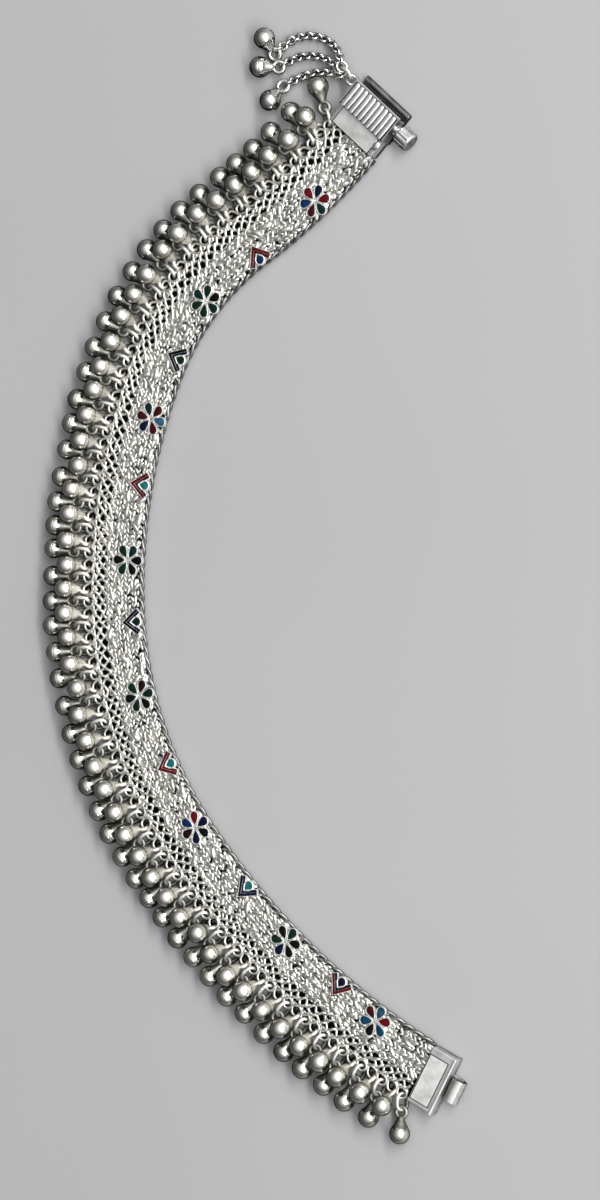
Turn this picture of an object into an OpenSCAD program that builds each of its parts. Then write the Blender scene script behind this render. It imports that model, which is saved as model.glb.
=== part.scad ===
// Silver anklet of woven chain with a fringe of small bells, lying open on its back.
// Millimetres. +Z is up and out of the decorated face, +Y runs along the anklet to the
// screw clasp, +X is the inner, concave side. Along the band s is measured from the clasp
// end on the concave edge, and u from that edge across the band towards the bells.

/* [Band] */
// Start of the lace, measured across the band from the concave edge
weave_w = 9.5; // [9:0.1:9.8]
// Height of the dense weave between its chain ridges
weave_t = 2.15; // [2:0.05:2.3]
// Chain ridges that run along the dense weave
weave_rows = 7; // [5:1:8]
// Diameter of the braided cord along the concave edge
braid_d = 1.5; // [1.3:0.05:1.6]

/* [Lace and bells] */
// Bells along the band, one to each eyelet of the lace
bell_count = 97; // [93:2:97]
// Diameter of a bell
bell_d = 4.6; // [4.2:0.1:4.6]
// From the middle of a bell's eye to the middle of its ball
bell_reach = 4.9; // [4.7:0.1:5]
// Thickness of the wire of the links
wire_d = 0.6; // [0.55:0.05:0.6]
// Thickness of a bell's eye
eye_wire_d = 0.7; // [0.6:0.05:0.7]
// Usual lift of the inner row of bells, in degrees
inner_lift = 48; // [42:1:50]
// Thickness of the lace
lace_t = 0.8; // [0.7:0.05:0.8]

/* [Ornaments] */
// Length of a flower's petal from the flower's middle
petal_len = 3.35; // [3.1:0.05:3.4]
// Thickness of the cast silver of an ornament
ornament_t = 0.9; // [0.8:0.05:1.1]
// Width of the silver rim round the enamel
rim_w = 0.25; // [0.2:0.01:0.3]

/* [Clasp] */
// Width of the clasp across the band
clasp_w = 13.9; // [13.5:0.1:14.2]
// Height of the clasp's box without its ribs
box_h = 5; // [4.9:0.05:5.2]
// Ribs on the cover of the clasp's box
rib_count = 10; // [8:1:11]
// Diameter of the screw pin
pin_d = 1.5; // [1.3:0.1:1.6]
// Diameter of the fluted knob on the pin
knob_d = 4.4; // [4:0.1:4.6]
// Outer diameter of the catch barrel that goes into the box
barrel_d = 3.6; // [3.4:0.05:3.6]
// Bore of the catch barrel
barrel_bore_d = 2.4; // [2.2:0.05:2.5]
// Width of the catch barrel across the band
barrel_w = 5.3; // [5:0.1:5.6]

/* [Tassel] */
// Radius of a chain link, to the middle of its wire
link_r = 0.86; // [0.85:0.01:0.87]
// Distance from one chain link to the next
link_pitch = 1.14; // [1.13:0.01:1.15]

/* [Hidden] */
FLOWERS = 8;
BUDS = 7;
CHAINS = 3;

// Arcs of the concave edge, one row each from the clasp end: length, turn to the left
LEN = 0;
TURN = 1;
ARCS = [
    [37.6, -14.6],
    [34.5, 35.0],
    [49.0, 22.6],
    [54.7, 36.2],
    [75.8, 26.0]
];
EDGE_START = [32.46, 95.21, 227.6]; // x, y and heading at the clasp end
EDGE_LEN = 251.6;
FULL = 360;
GAP = 0.1;          // clearance between separate pieces
SLIVER = 0.02;      // how far one cutting shape runs past another
ROUND = 28;         // sides of small round shapes

function rad(a) = a * PI / 180;
function arc_r(k) = ARCS[k][LEN] / rad(ARCS[k][TURN]);
function arc_move(p, len, turn) =
    let (r = len / rad(turn), b = p.z + turn)
    [p.x + r * (sin(b) - sin(p.z)), p.y + r * (cos(p.z) - cos(b)), b];
function arc_start(k) =
    k == 0 ? EDGE_START : arc_move(arc_start(k - 1), ARCS[k - 1][LEN], ARCS[k - 1][TURN]);
function arc_from(k, u = 0) =
    k == 0 ? 0 : arc_from(k - 1, u) + ARCS[k - 1][LEN] + u * rad(ARCS[k - 1][TURN]);
function arc_of(t, u = 0, k = 0) =
    k == len(ARCS) - 1 || t < arc_from(k + 1, u) ? k : arc_of(t, u, k + 1);

// Place and heading on the concave edge; past an end it runs straight on
function straight(p, d) = [p.x + d * cos(p.z), p.y + d * sin(p.z), p.z];
function edge_pose(s) =
    s < 0 ? straight(EDGE_START, s)
    : s > EDGE_LEN ? straight(arc_start(len(ARCS)), s - EDGE_LEN)
    : let (k = arc_of(s), d = s - arc_from(k))
      d == 0 ? arc_start(k) : arc_move(arc_start(k), d, ARCS[k][TURN] * d / ARCS[k][LEN]);

// Distance s on the concave edge for a distance t along the line at u
function edge_s(t, u) =
    let (k = arc_of(t, u), whole = ARCS[k][LEN] + u * rad(ARCS[k][TURN]))
    arc_from(k) + (t - arc_from(k, u)) * ARCS[k][LEN] / whole;
function line_t(s, u) =
    let (k = arc_of(s), whole = ARCS[k][LEN] + u * rad(ARCS[k][TURN]))
    arc_from(k, u) + (s - arc_from(k)) * whole / ARCS[k][LEN];

// A place on the band: its children have +X towards the bells and +Y along the band
module on_band(s, u, z = 0) {
    p = edge_pose(s);
    translate([p.x + u * sin(p.z), p.y - u * cos(p.z), z])
        rotate(p.z - 90)
            children();
}

// Flat strip of the band from u = low to u = high, between two distances s
STRIP_STEPS = 72;
function band_xy(s, u) = let (p = edge_pose(s)) [p.x + u * sin(p.z), p.y - u * cos(p.z)];
function strip_points(from, to, low, high) = concat(
    [for (i = [0:STRIP_STEPS]) band_xy(from + (to - from) * i / STRIP_STEPS, low)],
    [for (i = [STRIP_STEPS:-1:0]) band_xy(from + (to - from) * i / STRIP_STEPS, high)]
);
module strip(from, to, low, high, z, h) {
    translate([0, 0, z])
        linear_extrude(h)
            polygon(strip_points(from, to, low, high));
}

module ring(radius, wire) {
    rotate_extrude($fn = ROUND)
        translate([radius, 0]) circle(d = wire, $fn = 16);
}

// Band
BAND_FROM = 3.6;
BAND_TO = EDGE_LEN - 3.6;
WEAVE_IN = 1.65;
LACE_Z = 1.2;
EYELET_U = 13.9;
EYELET_R = 1.35;
EYELET_HOLE_R = 0.85;
LACE_OUT = EYELET_U - 0.15;
RIDGE_H = 0.16;
RIDGE_FILL = 0.7;   // share of a chain row that its ridge takes
STEP_IN = 0.35;     // how far the weave's rounded sides step in at its foot and top
STEP_H = 0.4;

// Eyelets stand at one pitch along the lace's outer line
EYELET_MARGIN = 1.5;
eyelet_t0 = line_t(BAND_FROM + EYELET_MARGIN, EYELET_U);
eyelet_t1 = line_t(BAND_TO - EYELET_MARGIN, EYELET_U);
function eyelet_s(i) =
    edge_s(eyelet_t0 + (eyelet_t1 - eyelet_t0) * i / (bell_count - 1), EYELET_U);

module weave() {
    row = (weave_w - WEAVE_IN - STEP_IN) / weave_rows;
    strip(BAND_FROM, BAND_TO, WEAVE_IN + STEP_IN, weave_w - STEP_IN, 0, weave_t);
    strip(BAND_FROM, BAND_TO, WEAVE_IN, weave_w, STEP_H, weave_t - 2 * STEP_H);
    for (i = [0:weave_rows - 1])
        strip(BAND_FROM, BAND_TO, WEAVE_IN + STEP_IN + row * (i + (1 - RIDGE_FILL) / 2),
            WEAVE_IN + STEP_IN + row * (i + (1 - RIDGE_FILL) / 2 + RIDGE_FILL) - SLIVER,
            weave_t - SLIVER, RIDGE_H + SLIVER);
}

module lace() {
    difference() {
        union() {
            strip(BAND_FROM, BAND_TO, weave_w - 2 * STEP_IN, LACE_OUT, LACE_Z, lace_t);
            for (i = [0:bell_count - 1])
                on_band(eyelet_s(i), EYELET_U, LACE_Z)
                    cylinder(r = EYELET_R, h = lace_t, $fn = ROUND);
        }
        for (i = [0:bell_count - 1])
            on_band(eyelet_s(i), EYELET_U, LACE_Z - 1)
                cylinder(r = EYELET_HOLE_R, h = lace_t + 2, $fn = ROUND);
    }
}

module band_weave() {
    color([0.82, 0.82, 0.80]) {
        weave();
        lace();
    }
}

// Braided cord: a tube of short beads with a waist between them
BRAID_SIDES = 6;
BRAID_BEADS = 98;
BRAID_Z = 1.2;
BRAID_WAIST = 0.74;
BEAD_SHAPE = [[0.3, 1], [0.8, BRAID_WAIST]];
function braid_ring(s, r) = let (p = edge_pose(s)) [for (j = [0:BRAID_SIDES - 1])
    let (a = FULL * j / BRAID_SIDES, u = braid_d / 2 + r * cos(a))
    [p.x + u * sin(p.z), p.y - u * cos(p.z), BRAID_Z + r * sin(a)]];
braid_rings = [for (i = [0:BRAID_BEADS - 1]) for (b = BEAD_SHAPE)
    braid_ring(BAND_FROM + (BAND_TO - BAND_FROM) * (i + b[0]) / BRAID_BEADS, b[1] * braid_d / 2)];

// Closed tube through rings of points that all have the same number of sides
module tube(rings) {
    n = len(rings[0]);
    last = (len(rings) - 1) * n;
    polyhedron(
        points = [for (r = rings) for (p = r) p],
        faces = concat(
            [[for (j = [n - 1:-1:0]) j]],
            [for (i = [0:len(rings) - 2]) for (j = [0:n - 1]) let (k = (j + 1) % n)
                [i * n + j, i * n + k, (i + 1) * n + k, (i + 1) * n + j]],
            [[for (j = [0:n - 1]) last + j]]
        )
    );
}

module edge_braid() {
    color([0.62, 0.62, 0.61])
        tube(braid_rings);
}

// Bells. Even bells hang on a link in the outer row, odd ones straight on the lace
EYE_R = 1.25;       // radius of a bell's eye, to the middle of its wire
LINK_SPAN = 1.25;   // straight part of an oval link
LINK_Z = LACE_Z + lace_t / 2;
OUTER_EYE_Z = 1.75;
LINK_ROLL = 28;     // a link leans over, so that its loop shows from above
EYE_REACH = 1.3;    // from an eyelet's middle to a bell's eye hooked in it
INNER_ROLL = 74;    // roll of an eye that is hooked in an eyelet
OUTER_REACH = 4.2;
NECK_BACK = 1.9;    // where the neck leaves the ball, from the ball's middle
NECK_FLARE = 0.27;  // radius of the neck at the ball, as a share of the ball's diameter

// The bells sway together along the band, each a little apart, and fan out at the ends
function fan(i) = exp(-i / 1.6);
function sway(i) =
    4 * sin(13 * i) + 0.5 * sin(101 * i) - 29 * fan(i) + 24 * fan(bell_count - 1 - i);
// Bells of the inner row that stand up on the lace instead of leaning out
STANDING = [3, 35, 53, 75];
STAND_LIFT = 66;
function lift(i) =
    len(search(i, STANDING)) > 0 ? STAND_LIFT : inner_lift + 2.5 * sin(77 * i);

module bell(roll, reach = bell_reach, wire = eye_wire_d) {
    rotate([roll, 0, 0])
        ring(EYE_R, wire);
    translate([EYE_R, 0, 0])
        rotate([0, 90, 0])
            cylinder(h = reach - NECK_BACK - EYE_R, r1 = wire * 0.75, r2 = bell_d * NECK_FLARE,
                $fn = ROUND);
    translate([reach, 0, 0])
        rotate([0, 0, 90])
            sphere(d = bell_d, $fn = ROUND);
}

module at_bell(i) {
    on_band(eyelet_s(i), EYELET_U)
        rotate(sway(i))
            children();
}

outer_tilt = asin((bell_d / 2 - OUTER_EYE_Z) / bell_reach);

module bells_outer() {
    color([0.72, 0.71, 0.68])
        for (i = [0:2:bell_count - 1])
            at_bell(i)
                translate([OUTER_REACH, 0, OUTER_EYE_Z])
                    rotate([0, -outer_tilt, 0])
                        bell(0);
}

module bells_inner() {
    color([0.76, 0.75, 0.72])
        for (i = [1:2:bell_count - 1])
            at_bell(i)
                translate([EYE_REACH, 0, LINK_Z])
                    rotate([0, -lift(i), 0])
                        bell(INNER_ROLL);
}

// Oval link with its near end in the eyelet and its far end in the bell's eye
module oval_link() {
    for (side = [-1, 1])
        translate([EYE_R + LINK_SPAN / 2 + side * LINK_SPAN / 2, 0, 0])
            rotate([90, 0, 0])
                rotate_extrude(angle = 180, start = -90 * side, $fn = ROUND)
                    translate([EYE_R, 0]) circle(d = wire_d, $fn = 16);
    for (side = [-1, 1])
        translate([EYE_R, 0, side * EYE_R])
            rotate([0, 90, 0])
                cylinder(h = LINK_SPAN, d = wire_d, $fn = 16);
}

module bell_links() {
    color([0.8, 0.8, 0.78])
        for (i = [0:2:bell_count - 1])
            at_bell(i)
                translate([0, 0, LINK_Z])
                    rotate([LINK_ROLL, 0, 0])
                        oval_link();
}

// Ornaments: flowers at even places and buds between them
// Their places along the concave edge, which are a little uneven
ORNAMENT_S = [19.5, 38, 53.3, 67, 81.5, 96.2, 113.1, 126.7, 142.9, 159.4, 174.4, 192.3, 207.1,
    222.7, 233.9];
FLOWER_U = 3.6;
ORNAMENT_Z = weave_t + RIDGE_H + 0.04;
POCKET = 0.5;       // depth of the enamel
ENAMEL_GAP = 0.03;
PETALS = 6;
PETAL_IN = 0.35;    // where the enamel of a petal starts
PETAL_W = 1.5;
POINT_SHIFT = 2.7;  // how far a petal's point moves in when its sides move in by one
BUD_TIP_U = 5.2;
BUD_HALF_ANGLE = 38;
BUD_ARM = 4.1;
BUD_ARM_W = 1.3;
DROP_LEN = 3.1;
DROP_W = 2.1;
DROP_TIP_U = 3.4;
DROP_SHIFT = 1.5;   // how far a drop's point moves when its sides move by one

// Teardrop along +X with its point at the origin
module teardrop(length, width) {
    r = width / 2;
    c = length - r;
    union() {
        translate([c, 0]) circle(r = r, $fn = ROUND);
        polygon([[0, 0], [c - r * r / c, -0.98 * r * sqrt(1 - pow(r / c, 2))],
            [c - r * r / c, 0.98 * r * sqrt(1 - pow(r / c, 2))]]);
    }
}

module petals(inset) {
    for (i = [0:PETALS - 1])
        rotate(i * FULL / PETALS)
            translate([PETAL_IN + POINT_SHIFT * inset, 0])
                teardrop(petal_len - rim_w - PETAL_IN - (POINT_SHIFT + 1) * inset,
                    PETAL_W - 2 * inset);
}

module flower_plate(i) {
    color([0.88, 0.88, 0.87])
        on_band(ORNAMENT_S[2 * (i - 1)], FLOWER_U, ORNAMENT_Z)
            difference() {
                linear_extrude(ornament_t) {
                    for (k = [0:PETALS - 1])
                        rotate(k * FULL / PETALS) teardrop(petal_len, PETAL_W + 2 * rim_w);
                    circle(r = 1.1, $fn = ROUND);
                }
                translate([0, 0, ornament_t - POCKET])
                    linear_extrude(ornament_t) petals(0);
            }
}

ENAMELS = [
    [0.05, 0.12, 0.42], [0.03, 0.26, 0.14], [0.45, 0.02, 0.06], [0.04, 0.2, 0.12],
    [0.02, 0.22, 0.16], [0.04, 0.1, 0.38], [0.02, 0.2, 0.13], [0.4, 0.04, 0.06]
];

module flower_enamel(i) {
    color(ENAMELS[i - 1])
        on_band(ORNAMENT_S[2 * (i - 1)], FLOWER_U, ORNAMENT_Z + ornament_t - POCKET + ENAMEL_GAP)
            linear_extrude(POCKET - 2 * ENAMEL_GAP) petals(ENAMEL_GAP);
}

// Chevron with its point towards the bells, its arms' middle line grown by grow
module bud_v(grow) {
    w = BUD_ARM_W / 2 + grow;
    reach = BUD_ARM + grow;
    along = [-cos(BUD_HALF_ANGLE), sin(BUD_HALF_ANGLE)];
    out = [sin(BUD_HALF_ANGLE), cos(BUD_HALF_ANGLE)];
    end_out = reach * along + w * out;
    end_in = reach * along - w * out;
    tip = w / sin(BUD_HALF_ANGLE);
    translate([BUD_TIP_U - BUD_ARM_W / 2 / sin(BUD_HALF_ANGLE), 0])
        polygon([[tip, 0], end_out, end_in, [-tip, 0], [end_in.x, -end_in.y],
            [end_out.x, -end_out.y]]);
}

module bud_drop(grow) {
    translate([DROP_TIP_U + DROP_SHIFT * grow, 0])
        rotate(180) teardrop(DROP_LEN + (DROP_SHIFT + 1) * grow, DROP_W + 2 * grow);
}

module bud_plate(i) {
    color([0.88, 0.88, 0.87])
        on_band(ORNAMENT_S[2 * i - 1], 0, ORNAMENT_Z)
            difference() {
                linear_extrude(ornament_t) {
                    bud_v(0);
                    bud_drop(0);
                }
                translate([0, 0, ornament_t - POCKET])
                    linear_extrude(ornament_t) {
                        difference() {
                            bud_v(-rim_w);
                            bud_drop(0);
                        }
                        bud_drop(-rim_w);
                    }
            }
}

BUD_ENAMELS = [
    [0.5, 0.02, 0.05], [0.02, 0.06, 0.2], [0.35, 0.02, 0.06], [0.1, 0.06, 0.25],
    [0.5, 0.04, 0.08], [0.03, 0.05, 0.2], [0.4, 0.02, 0.05]
];

module bud_enamel(i) {
    color(BUD_ENAMELS[i - 1])
        on_band(ORNAMENT_S[2 * i - 1], 0, ORNAMENT_Z + ornament_t - POCKET + ENAMEL_GAP)
            linear_extrude(POCKET - 2 * ENAMEL_GAP) {
                difference() {
                    bud_v(-rim_w - ENAMEL_GAP);
                    bud_drop(ENAMEL_GAP);
                }
                bud_drop(-rim_w - ENAMEL_GAP);
            }
}

// Clasp box: a rear block that takes the band's end, and an open-mouthed channel
CLASP_U = 0.6;
BLOCK_FROM = -1.1;
BLOCK_TO = 3.15;
BLOCK_H = 3.9;
JAW_TO = -9.4;
COVER_TO = -8.1;
SLOT_BACK = -3.1;
SLOT_H = 3.7;
FLOOR_T = 0.7;
CHEEK_T = 1;
CHEEK_TO = -7.4;
PIN_S = -5.1;
PIN_Z = FLOOR_T + SLOT_H / 2;
PIN_FIT = 0.05;     // running clearance round the pin
RIB_MARGIN = 0.55;
PLATE_U = [2.1, 13.1];
PLATE_T = 0.2;
LUG_U = 16.2;
LUG_S = -6.4;
LUG_R = 1.45;
LUG_WIRE = 0.8;
LUG_ROLL = 45;
COLLAR_R = 1.15;    // collar between the knob and the box
COLLAR_OUT = 0.9;

// Outline of the channel seen along the clasp: x is s, y is z
module channel_outline() {
    lip = 0.55;
    difference() {
        union() {
            translate([COVER_TO + lip, 0]) square([BLOCK_FROM - COVER_TO - lip, box_h - lip]);
            translate([COVER_TO + 2 * lip, 0]) square([BLOCK_FROM - COVER_TO - 3 * lip, box_h]);
            translate([COVER_TO + 2 * lip, box_h - 2 * lip]) circle(r = 2 * lip, $fn = ROUND);
            translate([BLOCK_FROM - lip, box_h - lip]) circle(r = lip, $fn = ROUND);
            translate([BLOCK_FROM - lip, 0]) square([lip, box_h - lip]);
            translate([JAW_TO + lip, 0]) square([SLOT_BACK - JAW_TO, FLOOR_T]);
            translate([JAW_TO + lip, lip]) circle(r = lip, $fn = ROUND);
        }
        translate([JAW_TO - 1, FLOOR_T]) square([SLOT_BACK - JAW_TO + 1, SLOT_H]);
    }
}

module clasp_box() {
    rib_pitch = (clasp_w - 2 * RIB_MARGIN) / rib_count;
    color([0.78, 0.78, 0.77])
        on_band(0, 0)
            difference() {
                union() {
                    translate([CLASP_U, 0, 0])
                        rotate([90, 0, 90])
                            linear_extrude(clasp_w) channel_outline();
                    for (u = [CLASP_U, CLASP_U + clasp_w - CHEEK_T])
                        translate([u, CHEEK_TO, 0])
                            cube([CHEEK_T, BLOCK_FROM - CHEEK_TO, box_h - 0.6]);
                    translate([CLASP_U + 0.3, BLOCK_FROM - 0.5, 0])
                        cube([clasp_w - 0.6, BLOCK_TO - BLOCK_FROM + 0.5, BLOCK_H]);
                    translate([PLATE_U[0], BLOCK_FROM - 0.1, BLOCK_H - 0.1])
                        cube([PLATE_U[1] - PLATE_U[0], BLOCK_TO - BLOCK_FROM - 0.1, PLATE_T + 0.1]);
                    for (i = [0:rib_count - 1])
                        translate([CLASP_U + RIB_MARGIN + rib_pitch * (i + 0.5), COVER_TO + 0.9,
                            box_h - 0.12])
                            rotate([-90, 0, 0])
                                cylinder(h = BLOCK_FROM - COVER_TO - 1.2, d = rib_pitch * 0.72,
                                    $fn = 16);
                    translate([CLASP_U - COLLAR_OUT, PIN_S, PIN_Z])
                        rotate([0, 90, 0])
                            cylinder(h = COLLAR_OUT + 0.3, r = COLLAR_R, $fn = ROUND);
                    translate([LUG_U, LUG_S, PIN_Z])
                        rotate([LUG_ROLL, 0, 0]) ring(LUG_R, LUG_WIRE);
                }
                translate([CLASP_U - 2, PIN_S, PIN_Z])
                    rotate([0, 90, 0])
                        cylinder(h = clasp_w + 4, d = pin_d + 2 * PIN_FIT, $fn = ROUND);
            }
}

// Screw pin with its fluted knob; local z runs along the pin from the knob
KNOB_L = 3.7;
KNOB_U = -4.15;
FLUTES = 14;
module screw_pin() {
    tip_u = CLASP_U + clasp_w + 0.5;
    color([0.7, 0.7, 0.69])
        on_band(PIN_S, KNOB_U, PIN_Z)
            rotate([0, 90, 0]) {
                cylinder(h = tip_u - KNOB_U, d = pin_d, $fn = ROUND);
                difference() {
                    union() {
                        translate([0, 0, 0.5]) cylinder(h = KNOB_L - 0.9, d = knob_d, $fn = ROUND);
                        cylinder(h = 0.5, d1 = knob_d - 0.9, d2 = knob_d, $fn = ROUND);
                        translate([0, 0, KNOB_L - 0.4])
                            cylinder(h = 0.4, d1 = knob_d, d2 = knob_d - 0.8, $fn = ROUND);
                    }
                    for (i = [0:FLUTES - 1])
                        rotate(i * FULL / FLUTES)
                            translate([knob_d / 2 + 0.12, 0, -1])
                                cylinder(h = KNOB_L + 2, d = 0.6, $fn = 16);
                }
            }
}

// Tassel. A route row: hook angle on the ring, first and last heading, links
HOOK = 0;
HEAD_FROM = 1;
HEAD_TO = 2;
COUNT = 3;
ROUTES = [
    [-42, 106, 220, 19],
    [0, 138, 206, 14],
    [42, 166, 206, 12]
];
LIE_Z = 1.25;       // height of a chain that lies down
TASSEL_RING_R = 1.6;
TASSEL_RING_WIRE = 0.7;
TASSEL_HEADING = 139;
CHAIN_WIRE = 0.41;
FIRST_R = 1.2;      // the first link of each chain is larger, to take the ring
FIRST_PLAY = 0.23;
LINK_PLAY = 0.13;
lug_p = edge_pose(LUG_S);
lug_xy = [lug_p.x + LUG_U * sin(lug_p.z), lug_p.y - LUG_U * cos(lug_p.z)];
RING_STEP = 2;      // from the lug's middle to the tassel ring's
ring_c = [lug_xy.x + RING_STEP * cos(TASSEL_HEADING), lug_xy.y + RING_STEP * sin(TASSEL_HEADING),
    PIN_Z];

module tassel_ring() {
    color([0.7, 0.7, 0.68])
        translate(ring_c)
            rotate([0, 0, TASSEL_HEADING])
                rotate([-LUG_ROLL, 0, 0]) ring(TASSEL_RING_R, TASSEL_RING_WIRE);
}

// Place of a chain's link i. The first is hooked on the ring, and the next ones come
// down to the height at which the chain lies
HOOK_REACH = TASSEL_RING_R + FIRST_R - (TASSEL_RING_WIRE + CHAIN_WIRE) / 2 - FIRST_PLAY;
DROP_LINKS = 7;
function ease(f) = f >= 1 ? 1 : f * f * (3 - 2 * f);
function hook_vec(k) = let (a = ROUTES[k][HOOK], c = cos(a), l = sin(a) * cos(LUG_ROLL))
    [c * cos(TASSEL_HEADING) - l * sin(TASSEL_HEADING),
     c * sin(TASSEL_HEADING) + l * cos(TASSEL_HEADING), -sin(a) * sin(LUG_ROLL)];
function link_z(k, i) =
    let (z0 = ring_c.z + HOOK_REACH * hook_vec(k).z)
    z0 + (LIE_Z - z0) * ease(i / DROP_LINKS);
function link_head(k, i) = ROUTES[k][HEAD_FROM]
    + (ROUTES[k][HEAD_TO] - ROUTES[k][HEAD_FROM]) * (i - 1) / (ROUTES[k][COUNT] - 2);
function link_step(k, i) =
    let (dz = link_z(k, i) - link_z(k, i - 1),
        pitch = i == 1 ? FIRST_R + link_r - CHAIN_WIRE - FIRST_PLAY : link_pitch,
        d = sqrt(pitch * pitch - dz * dz))
    [d * cos(link_head(k, i)), d * sin(link_head(k, i)), dz];
function link_c(k, i) =
    i == 0 ? ring_c + HOOK_REACH * hook_vec(k) : link_c(k, i - 1) + link_step(k, i);
// A link points half way between the steps before and after it
function link_vec(k, i) =
    i == 0 ? hook_vec(k) * link_pitch + link_step(k, 1)
    : link_step(k, i) + link_step(k, min(i + 1, ROUTES[k][COUNT] - 1));

// Links stand a quarter turn from one another. Towards the bell they twist upright
TWIST_LINKS = 5;
function link_roll(k, i) =
    let (side = i % 2 == 0 ? 1 : -1, f = (i - ROUTES[k][COUNT] + 1 + TWIST_LINKS) / TWIST_LINKS,
        end_side = ROUTES[k][COUNT] % 2 == 1 ? 1 : -1)
    side * LUG_ROLL + end_side * LUG_ROLL * max(0, f);

module on_chain(k, i) {
    v = link_vec(k, i);
    translate(link_c(k, i))
        rotate([0, -atan2(v.z, norm([v.x, v.y])), atan2(v.y, v.x)])
            children();
}

module tassel_chain(n) {
    color([0.74, 0.74, 0.72])
        for (i = [0:ROUTES[n - 1][COUNT] - 1])
            on_chain(n - 1, i)
                rotate([link_roll(n - 1, i), 0, 0])
                    ring(i == 0 ? FIRST_R : link_r, CHAIN_WIRE);
}

// The tassel's bells are slit across their ends and rest on their balls
TASSEL_TURNS = [-100, -28, 22];
TASSEL_REACH = 4.3;
TASSEL_EYE_WIRE = 0.45;
SLIT_FROM = 0.6;     // from the ball's middle to the bottom of its slit
SLIT_W = 0.4;
function tassel_climb(turn) =
    asin((bell_d / 2 - LIE_Z) / (TASSEL_REACH + EYE_R * cos(turn)));
module tassel_bell(n) {
    last = ROUTES[n - 1][COUNT] - 1;
    turn = TASSEL_TURNS[n - 1];
    climb = tassel_climb(turn);
    eye_step = link_r + EYE_R - (CHAIN_WIRE + TASSEL_EYE_WIRE) / 2 - LINK_PLAY;
    color([0.7, 0.69, 0.67])
        on_chain(n - 1, last)
            translate([eye_step, 0, EYE_R * sin(climb) * cos(turn)])
                rotate([0, -climb, turn])
                    difference() {
                        bell(0, TASSEL_REACH, TASSEL_EYE_WIRE);
                        translate([TASSEL_REACH + SLIT_FROM, -bell_d, -SLIT_W / 2])
                            cube([bell_d, 2 * bell_d, SLIT_W]);
                    }
}

// Catch: the band's other end, its raised flange and the barrel for the pin
CATCH_FROM = EDGE_LEN - 3.4;
CATCH_TO = EDGE_LEN + 2.2;
CATCH_H = 3.6;
FLANGE_T = 0.8;
FLANGE_H = 4.2;
BARREL_S = EDGE_LEN + 5.1;
BARREL_U = 7;
STRAP_T = 0.6;
TENON = 0.5;        // how deep the strap goes into the flange
BARREL_Z = 2.4;

module catch_plate() {
    color([0.86, 0.86, 0.85])
        on_band(EDGE_LEN, 0)
            difference() {
                union() {
                    translate([CLASP_U, CATCH_FROM - EDGE_LEN, 0])
                        cube([clasp_w - 0.4, CATCH_TO - CATCH_FROM + 0.1, CATCH_H]);
                    translate([PLATE_U[0] + 0.3, CATCH_FROM - EDGE_LEN + 0.4, CATCH_H - 0.1])
                        cube([PLATE_U[1] - PLATE_U[0] - 0.3, 4.4, PLATE_T + 0.1]);
                    translate([CLASP_U - 0.2, CATCH_TO - EDGE_LEN, 0])
                        cube([clasp_w + 0.2, FLANGE_T, FLANGE_H]);
                    for (u = [CLASP_U + 0.2, CLASP_U + clasp_w - 0.4])
                        translate([u, CATCH_TO - EDGE_LEN, FLANGE_H - 0.4])
                            rotate([-90, 0, 0]) cylinder(h = FLANGE_T, r = 0.4, $fn = ROUND);
                }
                translate([BARREL_U - barrel_w / 2 - GAP,
                    CATCH_TO - EDGE_LEN + FLANGE_T - TENON - GAP, BARREL_Z - barrel_d / 2 - GAP])
                    cube([barrel_w + 2 * GAP, TENON + GAP + 1, STRAP_T + 2 * GAP]);
            }
}

module catch_barrel() {
    reach = BARREL_S - CATCH_TO - FLANGE_T + TENON;
    color([0.8, 0.8, 0.78])
        on_band(BARREL_S, BARREL_U, BARREL_Z)
            difference() {
                union() {
                    translate([-barrel_w / 2, 0, 0])
                        rotate([0, 90, 0]) cylinder(h = barrel_w, d = barrel_d, $fn = ROUND);
                    translate([-barrel_w / 2, -reach, -barrel_d / 2])
                        cube([barrel_w, reach, STRAP_T]);
                }
                translate([-barrel_w, 0, 0])
                    rotate([0, 90, 0])
                        cylinder(h = 2 * barrel_w, d = barrel_bore_d, $fn = ROUND);
            }
}

band_weave();
edge_braid();
bells_outer();
bells_inner();
bell_links();
for (i = [1:FLOWERS]) flower_plate(i);
for (i = [1:FLOWERS]) flower_enamel(i);
for (i = [1:BUDS]) bud_plate(i);
for (i = [1:BUDS]) bud_enamel(i);
clasp_box();
screw_pin();
tassel_ring();
for (i = [1:CHAINS]) tassel_chain(i);
for (i = [1:CHAINS]) tassel_bell(i);
catch_plate();
catch_barrel();
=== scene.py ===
# Silver anklet of woven chain with a fringe of bells, lying open on its back.
# Sizes are in millimetres and become metres where a mesh is placed. Along the band s is
# measured from the clasp end on the concave edge, and u from that edge towards the bells.
import math
import random

import bmesh
import bpy
import numpy as np
from mathutils import Matrix, Vector


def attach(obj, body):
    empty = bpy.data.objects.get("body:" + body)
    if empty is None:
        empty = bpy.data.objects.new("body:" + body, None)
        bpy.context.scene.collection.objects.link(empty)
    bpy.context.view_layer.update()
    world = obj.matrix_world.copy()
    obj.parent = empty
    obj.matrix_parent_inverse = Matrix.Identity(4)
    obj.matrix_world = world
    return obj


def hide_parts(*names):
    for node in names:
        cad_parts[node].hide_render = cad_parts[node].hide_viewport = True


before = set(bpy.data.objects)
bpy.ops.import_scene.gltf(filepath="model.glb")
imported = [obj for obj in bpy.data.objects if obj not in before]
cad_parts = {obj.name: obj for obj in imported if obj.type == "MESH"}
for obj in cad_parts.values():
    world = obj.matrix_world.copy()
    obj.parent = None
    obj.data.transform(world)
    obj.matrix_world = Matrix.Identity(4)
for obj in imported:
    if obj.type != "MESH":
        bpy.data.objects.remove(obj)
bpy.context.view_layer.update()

# Camera. It looks down on the decorated face from the concave side, nearly a metre away,
# with the anklet filling the tall frame.
mm = 0.001
VIEW_TILT = math.radians(24)
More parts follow.
